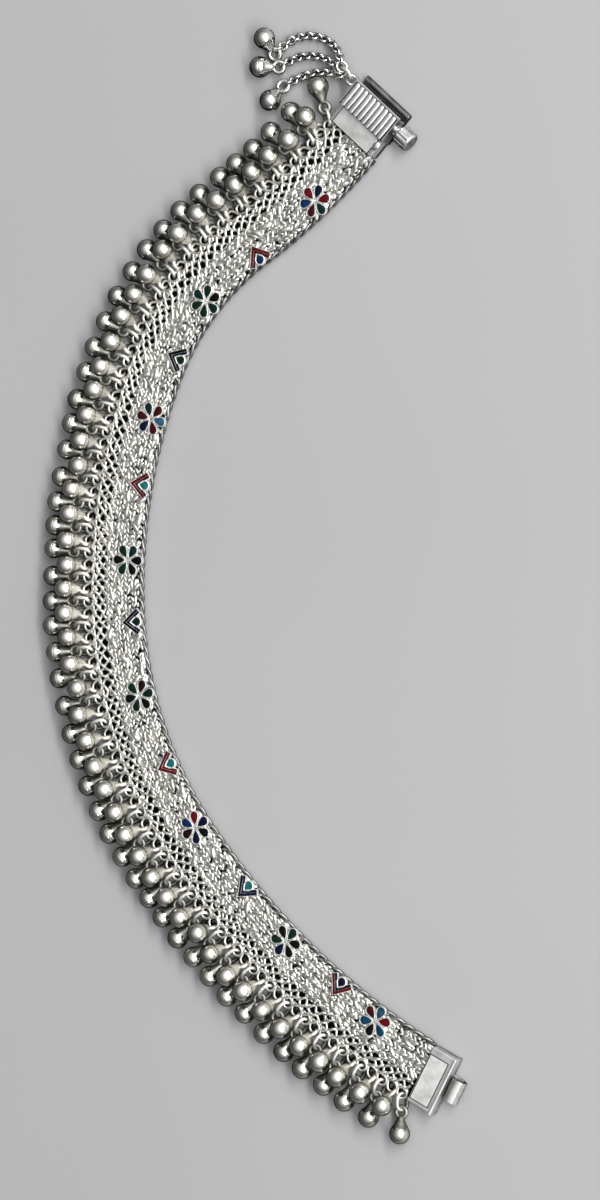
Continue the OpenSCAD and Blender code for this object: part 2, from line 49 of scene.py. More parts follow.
VIEW_DISTANCE = 900 * mm
VIEW_TARGET = Vector((11.13, -3.91, 0)) * mm
LENS = 121.2
view_back = Vector((math.sin(VIEW_TILT), 0, math.cos(VIEW_TILT)))
view_right = Vector((math.cos(VIEW_TILT), 0, -math.sin(VIEW_TILT)))
camera = bpy.data.objects.new("camera", bpy.data.cameras.new("camera"))
camera.data.lens = LENS
camera.matrix_world = (
    Matrix.Translation(VIEW_TARGET + view_back * VIEW_DISTANCE)
    @ Matrix((view_right, (0, 1, 0), view_back)).transposed().to_4x4()
)
bpy.context.collection.objects.link(camera)
bpy.context.scene.camera = camera

# Floor and light. A wide pale table top, one large soft lamp high on the right, and a sky
# that glows on the same side and is dark on the other, so that polished rounds show one
# soft white light and a dark rim.
bpy.context.scene.view_settings.view_transform = "Standard"
FLOOR_SIZE = 6.0
LAMP_SIDE = Vector((0.68, 0.1, 0.73))
LAMP_AWAY = 1.1
LAMP_SIZE = (1.7, 0.2)
LAMP_POWER = 18
SKY_SIDE = (0.6, 0.15, 0.785)
SKY_STRENGTH = 2.2
SKY_STEPS = (
    # share towards the bright side, colour
    (0, 0.05, 0.05, 0.051), (0.4, 0.12, 0.12, 0.1224), (0.75, 0.3, 0.3, 0.306),
    (1, 0.8, 0.8, 0.81),
)


def fill(tree, node, inputs):
    """Gives inputs of a node a value of their own, or the output of another node."""
    for label, value in inputs.items():
        if isinstance(value, bpy.types.NodeSocket):
            tree.links.new(value, node.inputs[label])
        else:
            node.inputs[label].default_value = value


def add_node(tree, kind, inputs=(), **settings):
    """Adds a shader node with its settings and inputs; returns its outputs."""
    node = tree.nodes.new("ShaderNode" + kind)
    for setting, value in settings.items():
        setattr(node, setting, value)
    fill(tree, node, dict(inputs))
    return node.outputs


def noise(tree, scale, detail=2):
    """The value of a noise texture on the object's own coordinates."""
    place = add_node(tree, "TexCoord")["Object"]
    return add_node(tree, "TexNoise", {"Vector": place, "Scale": scale, "Detail": detail})["Fac"]


def color_steps(tree, value, steps):
    """The colour of a ramp over a value, with steps of (share, red, green, blue)."""
    color = add_node(tree, "ValToRGB", {"Fac": value})["Color"]
    elements = color.node.color_ramp.elements
    for step in steps[1:-1]:
        elements.new(step[0])
    for element, (share, *parts) in zip(elements, steps):
        element.position = share
        element.color = (*parts, 1)
    return color


def new_material(name):
    """An empty node material: (material, its node tree, its shader)."""
    material = bpy.data.materials.new(name)
    material.use_nodes = True
    return material, material.node_tree, material.node_tree.nodes["Principled BSDF"]


floor_paint, tree, shader = new_material("pale_table")
mottle = color_steps(tree, noise(tree, 9), ((0, 0.345, 0.345, 0.348), (1, 0.37, 0.37, 0.373)))
fill(tree, shader, {"Base Color": mottle, "Roughness": 0.6, "Specular IOR Level": 0.2})

table_mesh = bmesh.new()
bmesh.ops.create_grid(table_mesh, x_segments=1, y_segments=1, size=FLOOR_SIZE / 2)
floor = bpy.data.objects.new("floor", bpy.data.meshes.new("floor"))
table_mesh.to_mesh(floor.data)
floor.data.materials.append(floor_paint)
bpy.context.collection.objects.link(floor)

strip = bpy.data.lights.new("key_lamp", "AREA")
strip.shape = "RECTANGLE"
strip.size, strip.size_y = LAMP_SIZE
strip.energy = LAMP_POWER
lamp = bpy.data.objects.new("key_lamp", strip)
towards = LAMP_SIDE.normalized()
lamp.matrix_world = (Matrix.Translation(towards * LAMP_AWAY)
                     @ towards.to_track_quat("Z", "Y").to_matrix().to_4x4())
bpy.context.collection.objects.link(lamp)

world = bpy.data.worlds.new("studio")
world.use_nodes = True
bpy.context.scene.world = world
tree = world.node_tree
side = add_node(tree, "TexCoord")["Generated"]
towards_glow = add_node(tree, "VectorMath", {0: side, 1: SKY_SIDE}, operation="DOT_PRODUCT")["Value"]
fill(tree, tree.nodes["Background"], {
    "Color": color_steps(tree, towards_glow, SKY_STEPS), "Strength": SKY_STRENGTH})

# Woven band. Silver wire is knitted loop in loop into a dense flat strap. The solid strap
# stays, painted near black as the shade in its depth, and the loops that show are slanted
# grains of bright wire laid over it in rows.
EDGE_START = (32.46, 95.21, 227.6)  # x, y and heading at the clasp end
ARCS = ((37.6, -14.6), (34.5, 35.0), (49.0, 22.6), (54.7, 36.2), (75.8, 26.0))
EDGE_LEN = sum(length for length, turn in ARCS)
BAND_FROM = 3.6
BAND_TO = EDGE_LEN - 3.6
GRAIN_ROWS = 9
GRAIN_ROW_FROM = 1.9
GRAIN_ROW_PITCH = 0.87
GRAIN_PITCH = 1.25
GRAIN_HALF = (0.43, 0.95, 0.4)  # half its width, length and height
GRAIN_BEND = 0.1
GRAIN_Z = 2.13
GRAIN_SLANT = math.radians(30)
GRAIN_SHAKE = (0.24, 0.16, 0.45)  # along as a share of the pitch, across, and its turn
GRAIN_SINK = (-0.1, 0.08)
GRAIN_SIZES = (0.8, 1.15)
BIG_SHARE = 0.1
BIG_SIZES = (1.4, 1.8)
SIDE_U = 1.4  # the row of grains on the side of the strap, over the cord
SIDE_DROP = 0.42
PAINTED_LIGHT_SIDE = (0.52, 0.05, 0.853)  # painted lit side; silver turned away gets painted shade


def straight_on(place, distance):
    x, y, heading = place
    a = math.radians(heading)
    return x + distance * math.cos(a), y + distance * math.sin(a), heading


def round_arc(place, length, turn):
    x, y, heading = place
    a, b = math.radians(heading), math.radians(heading + turn)
    r = length / math.radians(turn)
    return x + r * (math.sin(b) - math.sin(a)), y + r * (math.cos(a) - math.cos(b)), heading + turn


def edge_place(s):
    """x, y and heading on the concave edge, which runs straight on past both ends."""
    place = EDGE_START
    if s <= 0:
        return straight_on(place, s)
    for length, turn in ARCS:
        if s <= length:
            return round_arc(place, s, turn * s / length)
        place = round_arc(place, length, turn)
        s -= length
    return straight_on(place, s)


def on_band(s, u, z=0.0):
    """Matrix of a place on the band: its +X is towards the bells, its +Y along the band."""
    x, y, heading = edge_place(s)
    a = math.radians(heading)
    spot = Vector((x + u * math.sin(a), y - u * math.cos(a), z))
    return Matrix.Translation(spot) @ Matrix.Rotation(a - math.pi / 2, 4, "Z")


def line_length(s, u):
    """Length of the line at u from the clasp end to the place at s."""
    total = 0.0
    for length, turn in ARCS:
        part = min(s, length)
        total += part * (1 + u * math.radians(turn) / length)
        s -= part
    return total


def line_place(t, u):
    """The s of the place that is t along the line at u."""
    s = 0.0
    for length, turn in ARCS:
        whole = length + u * math.radians(turn)
        if t <= whole or (length, turn) == ARCS[-1]:
            return s + t * length / whole
        t -= whole
        s += length
    return s


def shake(most):
    """A random amount, up to most either way."""
    return chance.uniform(-most, most)


def copies(name, template, places, *finishes, body="band"):
    """One piece with the template's mesh at each place, and a random shade for each copy."""
    source = bpy.data.meshes.new(name + "_one")
    template.to_mesh(source)
    corners = np.ones((len(source.vertices), 4))
    corners[:, :3] = [corner.co for corner in source.vertices]
    loops = np.array([loop.vertex_index for loop in source.loops])
    starts = np.array([face.loop_start for face in source.polygons])
    slots = np.array([face.material_index for face in source.polygons])
    steps = np.arange(len(places))[:, None]
    points = np.concatenate([corners @ np.array(place).T for place in places])[:, :3] * mm
    mesh = bpy.data.meshes.new(name)
    mesh.vertices.add(len(points))
    mesh.vertices.foreach_set("co", points.ravel())
    mesh.loops.add(len(loops) * len(places))
    mesh.loops.foreach_set("vertex_index", (loops + steps * len(corners)).ravel())
    mesh.polygons.add(len(starts) * len(places))
    mesh.polygons.foreach_set("loop_start", (starts + steps * len(loops)).ravel())
    mesh.polygons.foreach_set("material_index", np.tile(slots, len(places)))
    mesh.update(calc_edges=True)
    mesh.shade_smooth()
    shades = mesh.attributes.new("shade", "FLOAT", "POINT")
    picks = [chance.random() for place in places]
    shades.data.foreach_set("value", np.repeat(picks, len(corners)))
    bpy.data.meshes.remove(source)
    for finish in finishes:
        mesh.materials.append(finish)
    thing = bpy.data.objects.new(name, mesh)
    bpy.context.collection.objects.link(thing)
    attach(thing, body)
    return thing


def silver_group():
    """Worn silver: random dark patches and tones, painted shade low down and away from light."""
    group = bpy.data.node_groups.new("silver_wear_and_shade", "ShaderNodeTree")
    for label, kind, value in (
        ("Bright", "NodeSocketColor", (0.9, 0.9, 0.88, 1)),
        ("Dark", "NodeSocketColor", (0.2, 0.2, 0.19, 1)),
        ("Spot Scale", "NodeSocketFloat", 700),
        ("Spots", "NodeSocketFloat", 0.3),
        ("Shades", "NodeSocketFloat", 0.2),
        ("Deep Z", "NodeSocketFloat", -1),
        ("Top Z", "NodeSocketFloat", -0.9),
        ("Sides", "NodeSocketFloat", 0),
        ("Polish", "NodeSocketFloat", 0.25),
        ("Grain Scale", "NodeSocketFloat", 6000),
        ("Grain", "NodeSocketFloat", 0.1),
    ):
        group.interface.new_socket(label, in_out="INPUT", socket_type=kind).default_value = value
    for label, kind in (
        ("Color", "NodeSocketColor"),
        ("Roughness", "NodeSocketFloat"),
        ("Normal", "NodeSocketVector"),
    ):
        group.interface.new_socket(label, in_out="OUTPUT", socket_type=kind)
    given = group.nodes.new("NodeGroupInput").outputs
    where = add_node(group, "TexCoord")

    def sum_up(operation, *values):
        return add_node(group, "Math", enumerate(values), operation=operation)["Value"]

    def span(value, low, high):
        inputs = {"Value": value, "From Min": low, "From Max": high}
        return add_node(group, "MapRange", inputs)["Result"]

    darkening = span(noise(group, given["Spot Scale"], 3), 0.42, 0.72)
    darkening = sum_up("MULTIPLY", darkening, given["Spots"])
    own_shade = add_node(group, "Attribute", attribute_name="shade")["Fac"]
    tone = sum_up("MULTIPLY", own_shade, given["Shades"])
    # Painted shade: silver lower than Top Z is darkened, fully at Deep Z, so that tops stay bright.
    height = add_node(group, "SeparateXYZ", {"Vector": where["Object"]})["Z"]
    depth = sum_up("SUBTRACT", 1, span(height, given["Deep Z"], given["Top Z"]))
    # Painted shade: silver turned away from the lit side is darkened, as far as the side input asks.
    facing = add_node(group, "VectorMath", {0: where["Normal"], 1: PAINTED_LIGHT_SIDE},
                      operation="DOT_PRODUCT")["Value"]
    painted_side_shade = sum_up("SUBTRACT", 1, span(facing, 0.15, 0.9))
    darkening = sum_up("MULTIPLY_ADD", painted_side_shade, given["Sides"], darkening)
    tarnish_and_shade = sum_up("ADD", sum_up("ADD", darkening, tone), depth)
    color = add_node(group, "Mix", {"Factor": tarnish_and_shade, 6: given["Bright"], 7: given["Dark"]},
                     data_type="RGBA")[2]
    grain = noise(group, given["Grain Scale"])
    rough = sum_up("MULTIPLY_ADD", grain, 0.16, given["Polish"])
    rough = sum_up("MULTIPLY_ADD", tarnish_and_shade, 0.12, rough)
    bump = add_node(group, "Bump", {"Strength": given["Grain"], "Distance": 0.0001,
                                    "Height": grain})["Normal"]
    fill(group, group.nodes.new("NodeGroupOutput"),
         {"Color": color, "Roughness": rough, "Normal": bump})
    return group


silver_wear_and_shade = silver_group()


def silver(name, rim=(0.5, 0.5, 0.48), metal=1.0, **values):
    """A finish of worn silver with painted shade, with its own values and grazing colour."""
    material, tree, shader = new_material(name)
    inputs = {label.replace("_", " "): value for label, value in values.items()}
    wear_and_shade = add_node(tree, "Group", inputs, node_tree=silver_wear_and_shade)
    fill(tree, shader, {"Base Color": wear_and_shade["Color"], "Metallic": metal, "Normal": wear_and_shade["Normal"],
                        "Roughness": wear_and_shade["Roughness"], "Specular Tint": (*rim, 1)})
    return material


chance = random.Random(7)
# Painted shade: the solid strap is near black, as the shade seen through the knit and lace.
strap_painted_shade = silver("strap_painted_shade", rim=(0.02, 0.02, 0.02), Bright=(0.7, 0.69, 0.65, 1),
                     Dark=(0.005, 0.005, 0.0045, 1), Deep_Z=2.0 * mm, Top_Z=2.16 * mm, Polish=0.5,
                     Spot_Scale=520, Spots=1.6)
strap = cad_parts["band_weave"].data.materials
strap.clear()
strap.append(strap_painted_shade)
# Painted shade: grains, lace wires and loops are darker where they lie low between one another.
knit_silver = silver("knit_silver", rim=(0.5, 0.5, 0.48), Bright=(0.86, 0.85, 0.8, 1),
                     Dark=(0.08, 0.08, 0.07, 1), Spots=0.45, Shades=0.3, Deep_Z=1.75 * mm,
                     Top_Z=2.2 * mm, Polish=0.32, Grain=0.3)

grain = bmesh.new()
bmesh.ops.create_uvsphere(grain, u_segments=8, v_segments=6, radius=1)
bmesh.ops.rotate(grain, verts=grain.verts, cent=(0, 0, 0),
                 matrix=Matrix.Rotation(math.pi / 2, 3, "X"))
for corner in grain.verts:
    corner.co.x += GRAIN_BEND / GRAIN_HALF[0] * (corner.co.y ** 2 - 0.5)
bmesh.ops.scale(grain, verts=grain.verts, vec=GRAIN_HALF)


def grain_places(rows):
    """Slanted grains along the rows, each row leaning against the next, a little out of true."""
    places = []
    along, across, turn = GRAIN_SHAKE
    for row in rows:
        side = 1 if row % 2 else -1
        flip = Matrix.Rotation(math.pi if side < 0 else 0, 4, "Y")
        u = SIDE_U if row < 0 else GRAIN_ROW_FROM + GRAIN_ROW_PITCH * row
        z = GRAIN_Z - (SIDE_DROP if row < 0 else 0)
        first, last = line_length(BAND_FROM, u), line_length(BAND_TO, u)
        count = round((last - first) / GRAIN_PITCH)
        for i in range(count):
            t = first + (last - first) * (i + 0.5 + shake(along)) / count
            spot = on_band(line_place(t, u), u + shake(across), z + chance.uniform(*GRAIN_SINK))
            slant = side * GRAIN_SLANT + shake(turn)
            sizes = BIG_SIZES if chance.random() < BIG_SHARE else GRAIN_SIZES
            places.append(spot @ Matrix.Rotation(slant, 4, "Z") @ flip
                          @ Matrix.Scale(chance.uniform(*sizes), 4))
    return places


for part, rows in (("inner", range(-1, 4)), ("outer", range(4, GRAIN_ROWS))):
    grains = copies("weave_grains_" + part, grain, grain_places(rows), knit_silver)

# Lace. Beside the dense weave the silver wires swing to and fro against one another into a
# net with dark openings between their crossings, and loops at the rim make the eyelets of
# the bells. The solid lace stays behind them, painted near black as the shade in the openings.
EYELET_U = 13.9
BELL_COUNT = 97
EYELET_MARGIN = 1.5
LACE_ROWS = (
    # u of its wire, swing, wire radius, z
    (12.75, 0.66, 0.34, 2.05), (11.7, 0.66, 0.34, 2.08), (10.65, 0.66, 0.34, 2.1),
    (9.6, 0.6, 0.33, 2.12), (8.7, 0.48, 0.33, 2.16),
)
LACE_RISE = 0.15
LACE_WANDER = 0.34  # how far a wire strays from its line
WANDER_WAVES = ((0.9, 2.3), (0.37, 1.1))  # turn for each eyelet, lag for each row
LACE_OPEN = (0.5, 1.35)  # how much of its swing a wire makes at an opening
LACE_SLIP = 0.12
LACE_SHAKE = (0.06, 0.05)  # across and up
KNOT_Z = 2.12
KNOT_OUT = 0.45
KNOT_FILL = 0.14  # share of the openings that a loop of wire closes
KNOT_SHAKE = (0.08, 0.15, 1.2)  # along as a share of the pitch, across, and its turn
KNOT_SINK = (-0.15, 0.08)
KNOT_SIZES = (0.5, 0.85)
WIRE_STEPS = 9  # points from one eyelet to the next
EYELET_LOOP = (1.16, 0.32, 2.2, 2.05)  # head radius, wire radius, length, z
EYELET_LEAN = math.radians(-38)
EYELET_SHAKE = (0.08, 0.06, 0.1)  # along, across, and its turn


def add_wire(mesh, points, radius, closed=True, detail=2):
    """Adds a round wire that runs through the points to a bmesh."""
    curve = bpy.data.curves.new("wire", "CURVE")
    curve.dimensions = "3D"
    curve.bevel_depth = radius
    curve.bevel_resolution = detail
    curve.use_fill_caps = not closed
    line = curve.splines.new("POLY")
    line.points.add(len(points) - 1)
    for point, spot in zip(line.points, points):
        point.co = (*spot, 1)
    line.use_cyclic_u = closed
    bent = bpy.data.objects.new("wire", curve)
    shape = bpy.data.meshes.new_from_object(bent)
    mesh.from_mesh(shape)
    bpy.data.objects.remove(bent)
    bpy.data.curves.remove(curve)
    bpy.data.meshes.remove(shape)


def polar(radius, a, z=0.0):
    """The point at a radius and an angle about Z."""
    return Vector((radius * math.cos(a), radius * math.sin(a), z))


def drop_loop(radius, length, steps=9):
    """Points of a flat loop with a round head at the origin and its tail at -Y."""
    lean = math.asin(radius / length)
    turns = [-lean + (math.pi + 2 * lean) * i / (steps - 1) for i in range(steps)]
    head = [polar(radius, a) for a in turns]
    tail = Vector((0, -length, 0))
    side = [head[-1].lerp(tail, share) for share in (0.35, 0.7, 0.93)]
    return head + side + [Vector((-point.x, point.y, 0)) for point in reversed(side)]


def eyelet_s(i):
    """The s of eyelet i, at one pitch along the lace's outer line."""
    first = line_length(BAND_FROM + EYELET_MARGIN, EYELET_U)
    last = line_length(BAND_TO - EYELET_MARGIN, EYELET_U)
    return line_place(first + (last - first) * i / (BELL_COUNT - 1), EYELET_U)


def stray(number, share):
    """How far a lace wire strays at a share of the eyelets, in slow waves of its own."""
    waves = (math.sin(rate * share + lag * number) for rate, lag in WANDER_WAVES)
    return LACE_WANDER * sum(waves) / 2


for number, (u, swing, radius, z) in enumerate(LACE_ROWS, 1):
    wire = bmesh.new()
    phase = number % 2 / 2
    opening = [chance.uniform(*LACE_OPEN) for i in range(BELL_COUNT + 1)]
    slip = [shake(LACE_SLIP) for i in range(BELL_COUNT + 1)]
    route = []
    for k in range(-WIRE_STEPS // 2, (BELL_COUNT - 1) * WIRE_STEPS + WIRE_STEPS // 2):
        share = k / WIRE_STEPS
        beat = max(0, round(share + phase))
        turn = math.tau * (share + phase)
        wide = swing * opening[beat] * math.cos(turn) + stray(number, share)
        along = share + slip[beat] * (1 + math.cos(turn)) / 2
        out = u + wide + shake(LACE_SHAKE[0])
        rise = LACE_RISE * math.sin(turn) + shake(LACE_SHAKE[1])
        route.append(on_band(eyelet_s(along), out, z + rise).translation)
    add_wire(wire, route, radius, closed=False)
    strand = copies(f"lace_wire_{number}", wire, [Matrix()], knit_silver)
knot_places = []
along, across, turn = KNOT_SHAKE
for number, row in enumerate(LACE_ROWS[1:], 2):
    for i in range(2 * BELL_COUNT - 3):
        crossing = (i + number) % 2
        if crossing or chance.random() < KNOT_FILL:
            share = (i + 1) / 2
            spot = on_band(eyelet_s(share + shake(along)),
                           row[0] + KNOT_OUT + stray(number, share) + shake(across),
                           KNOT_Z + chance.uniform(*KNOT_SINK))
            knot_places.append(spot @ Matrix.Rotation(shake(turn), 4, "Z")
                               @ Matrix.Scale(chance.uniform(*KNOT_SIZES), 4))
knots = copies("lace_knots", grain, knot_places, knit_silver)

head, radius, length, z = EYELET_LOOP
along, across, turn = EYELET_SHAKE
loop = bmesh.new()
add_wire(loop, drop_loop(head, length), radius)
loops = copies("eyelet_loops", loop, [
    on_band(eyelet_s(i) + shake(along), EYELET_U + shake(across), z)
    @ Matrix.Rotation(EYELET_LEAN + shake(turn), 4, "Z") for i in range(BELL_COUNT)
], knit_silver)

# Edge cord. Two thick silver wires twisted together run along the concave edge. They are
# dark silver, painted darker still on their lower side as shade.
CORD_U = 0.75
CORD_Z = 1.2
STRAND_R = 0.38
STRAND_OUT = 0.3
CORD_PITCH = 5.1
CORD_STEPS = 10  # points in each turn

# Painted shade: the cord is darker on its lower side.
cord_silver = silver("cord_silver", Bright=(0.3, 0.3, 0.29, 1), Dark=(0.07, 0.07, 0.065, 1),
                     Spots=0.5, Deep_Z=0.6 * mm, Top_Z=1.5 * mm, Polish=0.32, Grain=0.3)
cord_mesh = bmesh.new()
points_in_cord = round((BAND_TO - BAND_FROM) / CORD_PITCH * CORD_STEPS)
for strand in range(2):
    route = []
    for i in range(points_in_cord + 1):
        turn = math.tau * i / CORD_STEPS + math.pi * strand
        route.append(on_band(BAND_FROM + (BAND_TO - BAND_FROM) * i / points_in_cord,
                             CORD_U + STRAND_OUT * math.cos(turn),
                             CORD_Z + STRAND_OUT * math.sin(turn)).translation)
    add_wire(cord_mesh, route, STRAND_R, closed=False)
cord = copies("edge_cord", cord_mesh, [Matrix()], cord_silver)
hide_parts("edge_braid")

# Edge studs. Where the weave turns down to the cord, the last loops stand out as bright
# beads of silver wire with dark openings between them.
STUD_U = 1.42
STUD_Z = 1.88
STUD_PITCH = 2.75
STUD_HALF = (0.42, 0.72, 0.36)
STUD_SHAKE = (0.08, 0.06, 0.3)  # along as a share of the pitch, across, and its turn
STUD_SIZES = (0.85, 1.1)
stud = bmesh.new()
bmesh.ops.create_uvsphere(stud, u_segments=12, v_segments=8, radius=1)
bmesh.ops.scale(stud, verts=stud.verts, vec=STUD_HALF)
stud_count = round((BAND_TO - BAND_FROM) / STUD_PITCH)
stud_pitch = (BAND_TO - BAND_FROM) / stud_count
along, across, turn = STUD_SHAKE
studs = copies("edge_studs", stud, [
    on_band(BAND_FROM + stud_pitch * (i + 0.5 + shake(along)), STUD_U + shake(across), STUD_Z)
    @ Matrix.Rotation(shake(turn), 4, "Z") @ Matrix.Scale(chance.uniform(*STUD_SIZES), 4)
    for i in range(stud_count)
], knit_silver)

# Flowers. Cast silver with six petals. Each petal is a pocket with a thin bright rim, filled
# with glossy glass enamel in its own colour.
ORNAMENT_S = (19.5, 38, 53.3, 67, 81.5, 96.2, 113.1, 126.7, 142.9, 159.4, 174.4, 192.3, 207.1,
              222.7, 233.9)
ORNAMENT_Z = 2.35
ORNAMENT_T = 0.9
FLOWER_U = 3.6
PETAL_LEN = 3.75
PETAL_IN = 0.3
PETAL_W = 2.2
PETAL_RIM = 0.13
PETAL_FULL = 0.15  # how far a petal's side swells
TIP_CUT = 2.4  # how far the point of an inset petal draws back, in insets
RIM_EASE = 0.07
POCKET = 0.42
ENAMEL_BED = 0.72  # height of the enamel's edge over the foot of the casting
ENAMEL_CROWN = 0.13
CROWN_FLAT = 0.15  # share of a petal's field that is flat on top
COLORS = {
    "navy": (0.0012, 0.003, 0.018),
    "blue": (0.002, 0.014, 0.055),
    "sea": (0.002, 0.035, 0.065),
    "slate": (0.012, 0.045, 0.08),
    "pale_blue": (0.018, 0.07, 0.13),
    "red": (0.075, 0.002, 0.004),
    "crimson": (0.03, 0.001, 0.003),
    "green": (0.0008, 0.012, 0.006),
    "teal": (0.001, 0.013, 0.014),
    "aqua": (0.008, 0.1, 0.11),
    "black": (0.0006, 0.0008, 0.001),
    "maroon": (0.008, 0.001, 0.002),
}
FLOWER_COLORS = (
    # from the petal that points towards the bells, turning against the clock
    ("red", "blue", "crimson", "teal", "red", "navy"),
    ("teal", "green", "green", "green", "black", "green"),
    ("crimson", "navy", "crimson", "pale_blue", "crimson", "teal"),
    ("black", "green", "black", "black", "teal", "green"),
    ("black", "green", "black", "green", "maroon", "green"),
    ("maroon", "navy", "black", "navy", "red", "blue"),
    ("navy", "black", "black", "green", "black", "green"),
    ("black", "sea", "red", "slate", "crimson", "sea"),
)


def enamel(color):
    """Glossy transparent enamel: deep colour, clouded a little."""
    material, tree, shader = new_material("enamel_" + color)
    clouds = noise(tree, 900, 3)
    tint = color_steps(tree, clouds, [(share, *(part * light for part in COLORS[color]))
                                      for share, light in ((0.3, 0.55), (0.75, 1.5))])
    dimples = add_node(tree, "Bump", {"Strength": 0.25, "Distance": 0.00004, "Height": clouds})
    fill(tree, shader, {"Base Color": tint, "Roughness": 0.06, "IOR": 1.55,
                        "Specular IOR Level": 0.2, "Normal": dimples["Normal"]})
    return material


enamels = {color: enamel(color) for color in COLORS}
cast_silver = silver("cast_silver", rim=(0.95, 0.95, 0.94), Bright=(0.98, 0.98, 0.97, 1),
                     Dark=(0.5, 0.49, 0.47, 1), Spots=0.1, Polish=0.46, Grain=0.15)


def petal_outline(inset, steps=11):
    """Corners of a petal along +X: a point near the origin, full sides and a round end."""
    length, radius = PETAL_LEN - inset, PETAL_W / 2 - inset
    centre = length - radius
    tip = Vector((PETAL_IN + TIP_CUT * inset, 0, 0))
    lean = math.asin(radius / (centre - tip.x))
    turns = [-math.pi / 2 - lean + (math.pi + 2 * lean) * i / (steps - 1) for i in range(steps)]
    round_end = [Vector((centre, 0, 0)) + polar(radius, a) for a in turns]
    full = Vector((0, PETAL_FULL, 0))
    return [tip, tip.lerp(round_end[0], 0.5) - full, *round_end,
            tip.lerp(round_end[-1], 0.5) + full]


def draw_out(mesh, rings, finish=0):
    """Extrudes a face through rings of corners. Its last ring is closed and its foot open."""
    face = mesh.faces.new([mesh.verts.new(corner) for corner in rings[0]])
    face.material_index = finish
    for ring in rings[1:]:
        face = bmesh.ops.extrude_discrete_faces(mesh, faces=[face])["faces"][0]
        for corner, spot in zip(face.verts, ring):
            corner.co = spot


def cell(mesh, outer, inner, steps, turn, finish=0):
    """Adds a cell between two like outlines, turned about Z; each step is (share inward, z)."""
    spin = Matrix.Rotation(turn, 3, "Z")
    draw_out(mesh, [[spin @ (far.lerp(near, share) + Vector((0, 0, z)))
                     for far, near in zip(outer, inner)] for share, z in steps], finish)


def pocket(top):
    """Steps of a cast cell: a wall, a rounded rim and a pocket."""
    ease = top - RIM_EASE
    return (0, 0), (0, ease), (0.22, top), (0.78, top), (1, ease), (1, ORNAMENT_T - POCKET)


def dome(crown):
    """Steps of a field of enamel that rises a little from its edge to its middle."""
    return ((0, ENAMEL_BED - crown), (0, ENAMEL_BED), (0.3, ENAMEL_BED + 0.6 * crown),
            (0.65, ENAMEL_BED + 0.9 * crown), (1, ENAMEL_BED + crown))


def ornament(kind, number, spot, cast, glass, colors):
    """A casting and its enamel, which has a colour for each finish of its mesh."""
    casting = copies(f"{kind}_casting_{number}", cast, [spot], cast_silver)
    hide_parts(f"{kind}_{number}")
    fields = copies(f"{kind}_glass_{number}", glass, [spot], *(enamels[color] for color in colors))
    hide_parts(f"{kind}_enamel_{number}")


flower_cast, flower_glass = bmesh.new(), bmesh.new()
edge = petal_outline(PETAL_RIM)
middle = sum(edge, Vector()) / len(edge)
crown = [middle.lerp(corner, CROWN_FLAT) for corner in edge]
for k in range(6):
    cell(flower_cast, petal_outline(0), edge, pocket(ORNAMENT_T), k * math.tau / 6)
    cell(flower_glass, edge, crown, dome(ENAMEL_CROWN), k * math.tau / 6, k)
for number, colors in enumerate(FLOWER_COLORS, 1):
    ornament("flower", number, on_band(ORNAMENT_S[2 * number - 2], FLOWER_U, ORNAMENT_Z),
             flower_cast, flower_glass, colors)

# Buds. Between the flowers stands a chevron with its point towards the bells and a drop in
# its lap, cast in silver in one piece and enamelled. A thin silver line parts each arm into
# two strips.
BUD_TIP_U = 5.2
BUD_HALF_ANGLE = math.radians(38)
BUD_ARM = 4.1
BUD_ARM_W = 1.45
BUD_RIM = 0.08
BUD_LINE = 0.03  # half the width of the line that parts an arm
DROP_LEN = 3.0
DROP_W = 2.4
DROP_RIM = 0.26
DROP_TIP_U = 3.2
DROP_RISE = 0.06  # how far the drop's rim stands over the arms
DROP_TIP_CUT = 1.5
CREST = (0.01, 0.05)  # half the width of the highest line on a strip, and on the drop
BUD_COLORS = (
    # outer strip, inner strip, drop
    ("red", "crimson", "blue"), ("black", "navy", "green"), ("red", "crimson", "aqua"),
    ("black", "navy", "green"), ("red", "red", "aqua"), ("navy", "navy", "aqua"),
    ("red", "black", "navy"),
)


def chevron(out, inside, reach):
    """Corners of a chevron between two distances from its arms' middle line."""
    along = Vector((-math.cos(BUD_HALF_ANGLE), math.sin(BUD_HALF_ANGLE), 0))
    across = Vector((math.sin(BUD_HALF_ANGLE), math.cos(BUD_HALF_ANGLE), 0))
    corner = Vector((BUD_TIP_U - BUD_ARM_W / 2 / math.sin(BUD_HALF_ANGLE), 0, 0))
    arm = [corner + reach * along + out * across, corner + reach * along + inside * across]
    return [corner + Vector((out / math.sin(BUD_HALF_ANGLE), 0, 0)), *arm,
            corner + Vector((inside / math.sin(BUD_HALF_ANGLE), 0, 0)),
            *(Vector((point.x, -point.y, 0)) for point in reversed(arm))]


def drop_outline(inset, steps=15):
    """Corners of the drop, whose point is in the chevron's corner."""
    radius = DROP_W / 2 - inset
    centre = DROP_LEN - DROP_W / 2
    lean = math.asin(radius / (centre - DROP_TIP_CUT * inset))
    turns = [-math.pi / 2 - lean + (math.pi + 2 * lean) * i / (steps - 1) for i in range(steps)]
    middle = Vector((DROP_TIP_U - centre, 0, 0))
    return [Vector((DROP_TIP_U - DROP_TIP_CUT * inset, 0, 0)),
            *(middle - polar(radius, a) for a in turns)]


